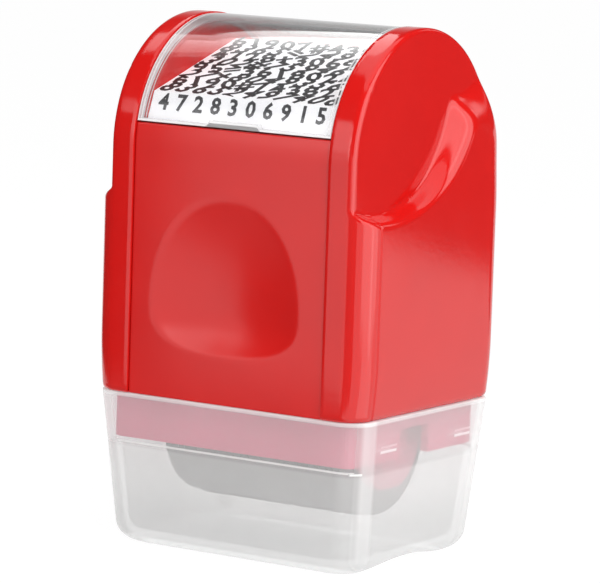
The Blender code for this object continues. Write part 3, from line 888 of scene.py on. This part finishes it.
@dataclass
class Window:
    """The clear arched cover over the card."""

    finishes: Finishes
    crown_centre: float = 74.8 * MM
    half_width: float = 21.2 * MM
    radius: float = 23.8 * MM
    wall: float = 1.2 * MM
    edge: float = 0.12 * MM
    rib_width: float = 0.8 * MM
    rib_depth: float = 0.3 * MM
    foot_rise: float = 4.9 * MM
    notch_half: float = 5.2 * MM
    notch_ramp: float = 0.8 * MM
    notch_height: float = 0.7 * MM
    tolerance: float = 0.01 * MM
    steps: int = 96

    def build(self) -> None:
        """Sweeps the cover's section over the crown and lifts its edges at the notches."""
        inner = self.radius - self.wall
        ribbed = inner - self.rib_depth
        rib_x = self.half_width - self.rib_width
        notch_out = self.notch_half + self.notch_ramp
        notch = (-notch_out, -self.notch_half, self.notch_half, notch_out)
        section = [(x, self.radius) for x in (-self.half_width, *notch, self.half_width)]
        section += [(self.half_width, ribbed), (rib_x, ribbed), (rib_x, inner)]
        section += [(x, inner) for x in reversed(notch)]
        section += [(-rib_x, inner), (-rib_x, ribbed), (-self.half_width, ribbed)]
        start = math.asin(self.foot_rise / self.radius)
        forward, up = -math.cos(start), math.sin(start)
        shape = bmesh.new()
        ring = [shape.verts.new((x, r * forward, self.crown_centre + r * up)) for x, r in section]
        bmesh.ops.spin(
            shape,
            geom=[shape.faces.new(ring)],
            cent=(0.0, 0.0, self.crown_centre),
            axis=(1.0, 0.0, 0.0),
            angle=-(math.pi - 2.0 * start),
            steps=self.steps,
            use_merge=False,
        )
        self.lift_notches(shape, start)
        bmesh.ops.recalc_face_normals(shape, faces=shape.faces)
        settle(
            "window_cover_shell",
            shape,
            self.finishes.clear,
            Body.WINDOW,
            Slot.CLEAR,
            "window_cover",
            edge=self.edge,
        )

    def lift_notches(self, shape: Shape, start: float) -> None:
        """Raises the middle of both feet for a fingernail.

        Args:
            shape: The cover.
            start: The feet's angle above the crown's centre.
        """
        half_step = (math.pi - 2.0 * start) / self.steps * 0.5
        for vert in shape.verts:
            angle = math.atan2(vert.co.z - self.crown_centre, abs(vert.co.y))
            if abs(vert.co.x) <= self.notch_half + self.tolerance and angle < start + half_step:
                vert.co.z += self.notch_height
                rise = vert.co.z - self.crown_centre
                outside = math.hypot(vert.co.y, rise) > self.radius - self.wall * 0.5
                wanted = self.radius if outside else self.radius - self.wall
                vert.co.y = math.copysign(math.sqrt(wanted**2 - rise**2), vert.co.y)


@dataclass(frozen=True)
class Print:
    """Rows of plain digits and signs, flat or raised; neighbouring rows lean opposite ways."""

    size: float
    pitch: float
    row_pitch: float
    slant_degrees: float
    rows: Sequence[str]
    depth: float = 0.0
    boldness: float = 0.03
    resolution: int = 2

    def glyph(self, sign: str) -> bpy.types.Mesh:
        """The mesh of one sign, centred, one unit high.

        Args:
            sign: The character.

        Returns:
            The mesh.
        """
        curve = bpy.data.curves.new("sign", "FONT")
        curve.body = sign
        curve.align_x, curve.align_y = "CENTER", "CENTER"
        curve.resolution_u = self.resolution
        curve.extrude = self.depth / self.size / 2.0
        curve.offset = self.boldness
        holder = link("sign", curve)
        graph = bpy.context.evaluated_depsgraph_get()
        mesh = bpy.data.meshes.new_from_object(holder.evaluated_get(graph))
        bpy.data.objects.remove(holder)
        bpy.data.curves.remove(curve)
        return mesh

    def lay(self, wrap: Callable[[Vector], Vector]) -> Shape:
        """Sets the rows out flat and moves each point onto the surface.

        Args:
            wrap: Takes a point (across, up, out) to its place.

        Returns:
            The printed rows.
        """
        shape = bmesh.new()
        meshes = {sign: self.glyph(sign) for sign in sorted(set("".join(self.rows)))}
        slant = math.radians(self.slant_degrees)
        for number, row in enumerate(self.rows):
            turn = Matrix.Rotation(slant if number % 2 else -slant, 4, "Z")
            for place, sign in enumerate(row):
                before = len(shape.verts)
                shape.from_mesh(meshes[sign])
                shape.verts.ensure_lookup_table()
                across = (place - (len(row) - 1) / 2.0) * self.pitch
                shift = Vector((across, number * self.row_pitch, 0.0))
                for vert in shape.verts[before:]:
                    vert.co = wrap(turn @ (vert.co * self.size) + shift)
        for mesh in meshes.values():
            bpy.data.meshes.remove(mesh)
        return shape


LABEL_ROWS = (
    "83652497406",
    "6190#743825",
    "27+80493561",
    "95=36180247",
    "302#7594618",
    "4728+306951",
    "8365=249740",
    "61907#43825",
)
SLEEVE_ROWS = ("83#52+97=4", "619=074#38", "27+80493#5", "95#3618=02", "302+7594#6") * 4


@dataclass
class Label:
    """The print on the folded card under the window."""

    finishes: Finishes
    half_width: float = 20.1 * MM
    lift: float = 0.03 * MM
    path: Sequence[tuple[float, float]] = (
        (-21.75 * MM, 79.7 * MM),
        (-19.85 * MM, 85.0 * MM),
        (6.2 * MM, 93.6 * MM),
    )
    front_row: Print = Print(4.3 * MM, 3.85 * MM, 0.0, 0.0, ("4728306915",))
    front_row_up: float = 3.6 * MM
    deck_rows: Print = Print(6.0 * MM, 3.62 * MM, 3.35 * MM, 26.0, LABEL_ROWS)
    deck_rows_up: float = 7.9 * MM

    def on_card(self, point: Vector) -> Vector:
        """Takes a flat point to the card's sloping deck, past its front fold.

        Args:
            point: Across, up from the foot along the card, and out from it.

        Returns:
            The place.
        """
        run = point.y
        for (y0, z0), (y1, z1) in zip(self.path, self.path[1:]):
            length = math.hypot(y1 - y0, z1 - z0)
            if run <= length or (y1, z1) == self.path[-1]:
                share = run / length
                lift = (point.z + self.lift) / length
                y = y0 + (y1 - y0) * share - (z1 - z0) * lift
                return Vector((point.x, y, z0 + (z1 - z0) * share + (y1 - y0) * lift))
            run -= length
        return point

    def build(self) -> None:
        """Prints a level grey row by the fold, its grey partly a painted reflection, and slanted
        black rows past it.
        """
        for name, rows, up, ink in (
            # the front row's grey ink is partly a painted reflection
            ("label_front_row", self.front_row, self.front_row_up, self.finishes.grey_ink_and_painted_reflection),
            ("label_print", self.deck_rows, self.deck_rows_up, self.finishes.ink),
        ):
            start = Vector((0.0, up, 0.0))
            shape = rows.lay(lambda point: self.on_card(point + start))
            for vert in shape.verts:
                vert.co.x = max(-self.half_width, min(self.half_width, vert.co.x))
            settle(name, shape, ink, Body.STAMP, Slot.CARD)


@dataclass
class Cap:
    """The frosted cap, with its ledge and arched foot."""

    finishes: Finishes
    half_width: float = 29.7 * MM
    half_depth: float = 23.7 * MM
    height: float = 28.9 * MM
    wall: float = 1.4 * MM
    edge: float = 0.2 * MM
    floor: float = 2.2 * MM
    taper: float = 2.6 * MM
    corner: float = 5.0 * MM
    foot_radius: float = 3.6 * MM
    foot_shrink: float = 0.3
    side_rings: Sizes = (8.0 * MM, 14.0 * MM, 20.0 * MM, 25.0 * MM)
    ledge_height: float = 19.0 * MM
    ledge_width: float = 0.8 * MM
    arch_rise: float = 1.2 * MM
    arch_inner: float = 1.0 * MM
    arch_outer: float = 14.0 * MM
    arch_reach: float = 2.1 * MM
    arch_tolerance: float = 0.001 * MM
    arch_steps: int = 10
    foot_steps: int = 8
    corner_steps: int = 10

    def ring(
        self, shape: Shape, height: float, inset: float, radius: float
    ) -> list[bmesh.types.BMVert]:
        """One level ring of the cap's section.

        Args:
            shape: The cap.
            height: The ring's height.
            inset: Distance in from the outer wall.
            radius: Its corners' radius.

        Returns:
            The ring's points, in turn.
        """
        lean = self.taper * (1.0 - height / self.height) + inset
        x, y = self.half_width - lean, self.half_depth - lean
        places = ((-x, -y, height), (x, -y, height), (x, y, height), (-x, y, height))
        corners = [shape.verts.new(place) for place in places]
        shape.faces.new(corners)
        made = bmesh.ops.bevel(
            shape,
            geom=corners,
            offset=radius,
            offset_type="OFFSET",
            segments=self.corner_steps,
            profile=0.5,
            affect="VERTICES",
            material=-1,
        )
        verts = set(made["verts"])
        faces = [face for face in shape.faces if set(face.verts) <= verts]
        bmesh.ops.delete(shape, geom=faces, context="FACES_ONLY")
        return sorted(verts, key=lambda vert: math.atan2(vert.co.y, vert.co.x))

    def rounding(self, radius: float) -> list[tuple[float, float]]:
        """The (height, inset) steps of a foot's rounding, from its underside to its wall."""
        angles = [math.pi / 2.0 * step / self.foot_steps for step in range(self.foot_steps + 1)]
        return [(radius * (1.0 - math.cos(a)), radius * (1.0 - math.sin(a))) for a in angles]

    def sections(self) -> list[tuple[float, float, float]]:
        """The (height, inset, corner radius) of each ring.

        Returns:
            The rings, from the underside over the rim to the floor.
        """
        inner_corner = self.corner - self.wall
        low_inset = self.wall + self.ledge_width
        rings = [
            (up, inset, self.corner - inset * self.foot_shrink)
            for up, inset in self.rounding(self.foot_radius)
        ]
        rings += [(up, 0.0, self.corner) for up in (*self.side_rings, self.height)]
        rings += [(up, self.wall, inner_corner) for up in (self.height, self.ledge_height)]
        rings += [(self.ledge_height, low_inset, inner_corner)]
        rings += [
            (self.floor + up, low_inset + inset, inner_corner)
            for up, inset in reversed(self.rounding(self.foot_radius - self.wall))
        ]
        return rings

    def build(self) -> None:
        """Joins the rings into the cap, then arches its foot."""
        shape = bmesh.new()
        rings = [self.ring(shape, *section) for section in self.sections()]
        for lower, upper in zip(rings, rings[1:]):
            for step, vert in enumerate(lower):
                after = (step + 1) % len(lower)
                shape.faces.new((vert, lower[after], upper[after], upper[step]))
        shape.faces.new(rings[0])
        shape.faces.new(rings[-1])
        self.arch_foot(shape)
        bmesh.ops.recalc_face_normals(shape, faces=shape.faces)
        settle(
            "frosted_cap",
            shape,
            self.finishes.frosted,
            Body.CAP,
            Slot.FROSTED,
            "protective_cap",
            edge=self.edge,
        )

    def arch_foot(self, shape: Shape) -> None:
        """Raises the underside between the front and back feet.

        Args:
            shape: The cap.
        """
        for step in range(self.arch_steps + 1):
            away = self.arch_inner + (self.arch_outer - self.arch_inner) * step / self.arch_steps
            for y in (-away, away):
                bmesh.ops.bisect_plane(
                    shape,
                    geom=shape.verts[:] + shape.edges[:] + shape.faces[:],
                    dist=self.arch_tolerance,
                    plane_co=(0.0, y, 0.0),
                    plane_no=(0.0, 1.0, 0.0),
                )
        for vert in shape.verts:
            rise = self.arch_rise * eased(abs(vert.co.y), self.arch_outer, self.arch_inner)
            vert.co.z += rise * share_of(vert.co.z, self.arch_reach, 0.0)


@dataclass
class Rollers:
    """The stamp roller's sleeve with its relief, and its end discs."""

    finishes: Finishes
    axis_height: float = 22.7 * MM
    radius: float = 15.0 * MM
    relief: float = 0.3 * MM
    core_radius: float = 10.6 * MM
    half_length: float = 17.6 * MM
    sleeve_edge: float = 0.25 * MM
    sign_size: float = 5.0 * MM
    sign_pitch: float = 3.5 * MM
    sign_slant: float = 25.0
    disc_inner: float = 17.9 * MM
    disc_outer: float = 19.5 * MM
    disc_radius: float = 14.6 * MM
    disc_edge: float = 0.3 * MM
    bore: float = 2.1 * MM
    steps: int = 96

    def turned(self, section: Sequence[tuple[float, float]]) -> Shape:
        """Spins a closed section about the roller's axis.

        Args:
            section: (x, radius) points.

        Returns:
            The ring.
        """
        shape = bmesh.new()
        ring = [shape.verts.new((x, 0.0, self.axis_height + r)) for x, r in section]
        edges = [shape.edges.new(pair) for pair in zip(ring, ring[1:] + ring[:1])]
        bmesh.ops.spin(
            shape,
            geom=ring + edges,
            cent=(0.0, 0.0, self.axis_height),
            axis=(1.0, 0.0, 0.0),
            angle=math.tau,
            steps=self.steps,
            use_merge=True,
        )
        bmesh.ops.recalc_face_normals(shape, faces=shape.faces)
        return shape

    def on_sleeve(self, point: Vector) -> Vector:
        """Wraps a flat point round the sleeve.

        Args:
            point: Along the axis, round the sleeve, and out from it.

        Returns:
            The place.
        """
        out = self.radius - self.relief + point.z
        angle = point.y / self.radius
        return Vector((point.x, out * math.sin(angle), self.axis_height - out * math.cos(angle)))

    def build(self) -> None:
        """Makes the sleeve, its raised signs and the discs."""
        ground = self.radius - self.relief
        half, core = self.half_length, self.core_radius
        sleeve = self.turned([(-half, core), (-half, ground), (half, ground), (half, core)])
        edge, node = self.sleeve_edge, "stamp_rubber_sleeve"
        rubber = (self.finishes.rubber, Body.STAMP_ROLLER, Slot.RUBBER)
        settle("stamp_sleeve", sleeve, *rubber, node, edge=edge)
        pitches = (self.sign_pitch, math.tau * self.radius / len(SLEEVE_ROWS))
        signs = Print(self.sign_size, *pitches, self.sign_slant, SLEEVE_ROWS, self.relief * 2.0)
        settle("stamp_relief", signs.lay(self.on_sleeve), *rubber)
        grey = (self.finishes.grey, Body.STAMP_ROLLER, Slot.GREY)
        bore, rim, edge = self.bore, self.disc_radius, self.disc_edge
        for side, word in ((-1.0, "left"), (1.0, "right")):
            near, far = side * self.disc_inner, side * self.disc_outer
            disc = self.turned([(near, bore), (near, rim), (far, rim), (far, bore)])
            node = f"stamp_roller_{word}_disc"
            settle(f"{word}_roller_disc", disc, *grey, node, edge=edge)


@dataclass(frozen=True)
class Softbox:
    """A lamp that faces the object, with its angles in degrees; a radiance of 1 is white."""

    name: str
    azimuth: float
    elevation: float
    distance: float
    size: Sizes
    radiance: float


@dataclass(frozen=True)
class Glow:
    """An upright soft reflector beside the object.

    Its fade is the share of its width or height over which each edge fades out: left, right,
    bottom, top.
    """

    name: str
    azimuth: float
    distance: float
    heights: Sizes
    width: float
    radiance: float
    fade: Sizes


@dataclass(frozen=True)
class Sheet:
    """A level sheet that only reflections see, with its corners from above."""

    name: str
    height: float
    radiance: float
    outline: Sequence[tuple[float, float]]


SOFTBOXES = (
    Softbox("key_softbox", 62.0, 45.0, 0.60, (0.34, 0.34), 7.0),
    Softbox("front_left_softbox", -40.0, 32.0, 0.55, (0.26, 0.18), 2.2),
    Softbox("back_right_softbox", 156.0, 20.0, 0.50, (0.12, 0.10), 4.0),
    Softbox("top_softbox", 0.0, 88.0, 0.60, (0.30, 0.30), 1.6),
)
GLOWS = (
    Glow("front_glow", -26.0, 0.50, (0.05, 0.37), 0.56, 1.7, (0.45, 0.3, 0.3, 0.15)),
    Glow("dimple_glow", -9.0, 0.45, (0.06, 0.26), 0.25, 3.0, (0.5, 0.5, 0.4, 0.4)),
    Glow("ridge_glow", 94.0, 0.29, (0.001, 0.46), 0.07, 3.2, (0.4, 0.4, 0.0, 0.25)),
    Glow("right_glow", 88.0, 0.30, (0.001, 0.46), 0.46, 2.2, (0.12, 0.12, 0.0, 0.25)),
    Glow("back_right_glow", 162.0, 0.50, (0.20, 0.44), 0.20, 1.1, (0.4, 0.4, 0.3, 0.3)),
    Glow("backdrop_glow", -143.0, 0.50, (0.06, 0.46), 0.40, 0.75, (0.2, 0.2, 0.0, 1.0)),
)
UPPER = ((-0.300, -0.075), (-0.150, 0.160), (-0.352, 0.470), (-0.283, 0.150), (-0.300, 0.100))
NEAR_FLOOR = ((-0.175, -0.196), (0.020, -0.196), (0.030, -0.026), (-0.150, -0.026))
RIGHT_FLOOR = ((0.080, -0.050), (0.280, -0.130), (0.300, 0.100), (0.080, 0.020))
SHEETS = (
    Sheet("upper_glow", 0.45, 2.0, UPPER),
    Sheet("near_floor_card", 0.5 * MM, 0.25, NEAR_FLOOR),
    Sheet("right_floor_glow", 0.5 * MM, 1.9, RIGHT_FLOOR),
)


@dataclass
class Studio:
    """The floor, lamps, dark surround and camera, at a plain level."""

    target: Vector = field(default_factory=lambda: Vector((0.4 * MM, 0.0, 47.9 * MM)))
    camera_azimuth: float = 33.484
    camera_elevation: float = 7.721
    camera_roll: float = 1.920
    camera_distance: float = 747.4 * MM
    lens: float = 240.3
    sensor_width: float = 36.0
    clip_start: float = 0.01
    surround_radius: float = 0.56
    surround_foot: float = 0.10
    surround_height: float = 0.95
    surround_shade: float = 0.05
    floor_radius: float = 9.0
    floor_colour: Colour = (0.88, 0.88, 0.88, 1.0)
    floor_glow: float = 1.06
    floor_glow_share: float = 0.90
    world_light: float = 0.40

    @staticmethod
    def heading(azimuth: float, elevation: float) -> Vector:
        """The direction from the object to an azimuth and elevation in degrees."""
        a, e = math.radians(azimuth), math.radians(elevation)
        return Vector((math.sin(a) * math.cos(e), -math.cos(a) * math.cos(e), math.sin(e)))

    def aim(self, place: Vector, level: bool = False) -> Quaternion:
        """The rotation that looks from a place at the target.

        Args:
            place: The place.
            level: Whether it only looks level towards it.

        Returns:
            The rotation.
        """
        towards = self.target - place
        if level:
            towards.z = 0.0
        return towards.to_track_quat("-Z", "Y")

    def stand(self, name: str, data: bpy.types.ID, place: Vector, roll: float) -> bpy.types.Object:
        """Stands a camera or a lamp at a place, facing the object.

        Args:
            name: Its name.
            data: The camera or lamp.
            place: Where it stands.
            roll: How far it is rolled, in degrees.

        Returns:
            The object.
        """
        made = link(name, data)
        made.location = place
        made.rotation_mode = "QUATERNION"
        turn = Quaternion((0.0, 0.0, 1.0), math.radians(roll))
        made.rotation_quaternion = self.aim(place) @ turn
        return made

    def add_camera(self) -> None:
        """Sets the camera to the photograph's view."""
        camera = bpy.data.cameras.new("view")
        camera.lens = self.lens
        camera.sensor_width = self.sensor_width
        camera.clip_start = self.clip_start
        heading = self.heading(self.camera_azimuth, self.camera_elevation)
        place = self.target + heading * self.camera_distance
        bpy.context.scene.camera = self.stand("view", camera, place, self.camera_roll)

    def add_softbox(self, box: Softbox) -> None:
        """Adds a lamp that reflections don't see.

        Args:
            box: The lamp.
        """
        lamp = bpy.data.lights.new(box.name, "AREA")
        lamp.shape = "RECTANGLE"
        lamp.size, lamp.size_y = box.size
        lamp.energy = box.radiance * math.pi * box.size[0] * box.size[1]
        place = self.target + self.heading(box.azimuth, box.elevation) * box.distance
        self.stand(box.name, lamp, place, 0.0).visible_glossy = False

    def stage_surface(self, name: str, shape: Shape, material: Material) -> None:
        """Stages a surface that only reflections see.

        Args:
            name: The surface's name.
            shape: Its mesh in place.
            material: Its face.
        """
        piece = add_surface(name, shape, material)
        for ray in ("camera", "diffuse", "transmission", "volume_scatter", "shadow"):
            setattr(piece, f"visible_{ray}", False)

    def stage_card(
        self,
        name: str,
        place: Vector,
        size: Sizes,
        material: Material,
        turn: float = 0.0,
    ) -> None:
        """Stages an upright card that only reflections see.

        Args:
            name: The card's name.
            place: Its centre.
            size: Its width and height.
            material: Its face.
            turn: Degrees that it is turned about the upright, away from facing the object.
        """
        shape = bmesh.new()
        shape.loops.layers.uv.new("card")
        bmesh.ops.create_grid(shape, x_segments=1, y_segments=1, size=0.5, calc_uvs=True)
        bmesh.ops.scale(shape, vec=(*size, 1.0), verts=shape.verts)
        facing = self.aim(place, level=True).to_matrix().to_4x4()
        turned = Matrix.Rotation(math.radians(turn), 4, "Z") @ facing
        bmesh.ops.transform(shape, matrix=Matrix.Translation(place) @ turned, verts=shape.verts)
        self.stage_surface(name, shape, material)

    @staticmethod
    def plain_face(name: str, shade: float) -> Material:
        """An even face of one brightness."""
        graph = Graph(f"{name} face")
        return graph.close(graph.node("ShaderNodeEmission", None, {0: (shade, shade, shade, 1.0)}))

    def add_glow(self, glow: Glow) -> None:
        """Stands a soft reflector up beside the object.

        Args:
            glow: The reflector.
        """
        graph = Graph(f"{glow.name} face")
        across, up, _ = graph.axes(graph.node("ShaderNodeTexCoord", output="UV"))
        left, right, bottom, top = (max(share, LEAST_FADE) for share in glow.fade)
        mask = across.span(0.0, left) * across.span(1.0, 1.0 - right)
        mask = mask * up.span(0.0, bottom) * up.span(1.0, 1.0 - top)
        bright = graph.node("ShaderNodeEmission", None, {"Strength": glow.radiance})
        face = graph.close(graph.mix(mask, graph.node("ShaderNodeBsdfTransparent"), bright))
        place = self.heading(glow.azimuth, 0.0) * glow.distance
        foot, head = glow.heights
        place.z = (foot + head) / 2.0
        self.stage_card(glow.name, place, (glow.width, head - foot), face)

    def add_sheet(self, sheet: Sheet) -> None:
        """Stages a level sheet that only reflections see.

        Args:
            sheet: The sheet.
        """
        shape = bmesh.new()
        shape.faces.new([shape.verts.new((x, y, sheet.height)) for x, y in sheet.outline])
        self.stage_surface(sheet.name, shape, self.plain_face(sheet.name, sheet.radiance))

    def add_cards(self) -> None:
        """Stages the dark surround and the dark cards."""
        dark = self.plain_face("dark surround", self.surround_shade)
        depth = self.surround_height - self.surround_foot
        shape = bmesh.new()
        bmesh.ops.create_cone(
            shape,
            cap_ends=False,
            segments=96,
            radius1=self.surround_radius,
            radius2=self.surround_radius,
            depth=depth,
        )
        middle = (0.0, 0.0, self.surround_foot + depth / 2.0)
        bmesh.ops.translate(shape, vec=middle, verts=shape.verts)
        self.stage_surface("dark_surround", shape, dark)
        ahead = self.target + self.heading(azimuth=14.0, elevation=0.0) * 0.17
        face = self.plain_face("camera card", shade=0.22)
        self.stage_card("camera_card", ahead, size=(0.10, 0.14), material=face)
        beside = self.target + self.heading(azimuth=-70.0, elevation=0.0) * 0.20
        self.stage_card("left_card", beside, size=(0.284, 0.20), material=dark)
        backdrop = Vector((0.350, 0.449, 0.060))
        face = self.plain_face("backdrop", shade=0.10)
        self.stage_card("backdrop_card", backdrop, size=(0.60, 0.12), material=face, turn=72.9)

    @staticmethod
    def seen_rays(graph: Graph) -> Value:
        """Tells the rays that show the background from those that light the object.

        Args:
            graph: The floor's or the world's tree.

        Returns:
            1 for camera, glossy and transmission rays, and 0 for the rest.
        """
        outputs = graph.node("ShaderNodeLightPath").socket.node.outputs
        names = ("Is Camera Ray", "Is Glossy Ray", "Is Transmission Ray")
        camera, glossy, through = (Value(graph, outputs[name]) for name in names)
        return camera.larger(glossy).larger(through)

    def add_floor(self) -> None:
        """Lays the pale floor, which keeps the shadow."""
        shape = bmesh.new()
        bmesh.ops.create_circle(shape, cap_ends=True, radius=self.floor_radius, segments=64)
        graph = Graph("pale floor")
        lit = graph.node("ShaderNodeBsdfDiffuse", None, {"Color": self.floor_colour})
        shine = {"Color": WHITE, "Strength": self.floor_glow}
        glow = graph.node("ShaderNodeEmission", None, shine)
        share = self.seen_rays(graph) * self.floor_glow_share
        add_surface("floor", shape, graph.close(graph.mix(share, lit, glow)))

    def add_world(self) -> None:
        """Makes the world white where it is seen and soft grey as light."""
        world = bpy.data.worlds.new("studio")
        world.use_nodes = True
        bpy.context.scene.world = world
        graph = Graph("studio", world.node_tree)
        levels = {0: self.seen_rays(graph), 2: self.world_light, 3: 1.0}
        level = graph.node("ShaderNodeMix", {"data_type": "FLOAT"}, levels)
        light = {"Color": WHITE, "Strength": level}
        graph.close(graph.node("ShaderNodeBackground", None, light))

    def build(self) -> None:
        """Sets up the whole studio."""
        bpy.context.scene.view_settings.view_transform = "Standard"
        self.add_camera()
        self.add_world()
        self.add_floor()
        for box in SOFTBOXES:
            self.add_softbox(box)
        self.add_cards()
        for glow in GLOWS:
            self.add_glow(glow)
        for sheet in SHEETS:
            self.add_sheet(sheet)


def dress_kept_nodes(finishes: Finishes) -> None:
    """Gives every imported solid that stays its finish.

    Args:
        finishes: The stamp's finishes.
    """
    bushes = ("stamp_bush_left", "stamp_bush_right", "ink_bush_left", "ink_bush_right")
    screws = ("cheek_screw_front", "cheek_screw_back")
    dressed = (
        (finishes.card, ("label_card",)),
        (finishes.satin_red, ("label_tray",)),
        (finishes.frame_red, ("chassis_skirt", "cartridge_frame", "cartridge_right_cheek")),
        (finishes.frame_red, bushes),
        (finishes.steel, (*screws, "stamp_roller_axle", "ink_roller_axle")),
        (finishes.grey, ("stamp_roller_core", "ink_roller_core")),
        (finishes.foam, ("ink_foam_sleeve",)),
    )
    for finish, names in dressed:
        for name in names:
            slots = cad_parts[name].data.materials
            slots.clear()
            slots.append(finish)
            LOG.info("%s: %s", name, finish.name)


def main() -> None:
    """Builds the studio and every piece, in order."""
    logging.basicConfig(level=logging.INFO, format="%(name)s %(message)s")
    Studio().build()
    finishes = Finishes()
    Case(finishes).build()
    Window(finishes).build()
    Label(finishes).build()
    Cap(finishes).build()
    Rollers(finishes).build()
    dress_kept_nodes(finishes)


if __name__ == "__main__":
    main()
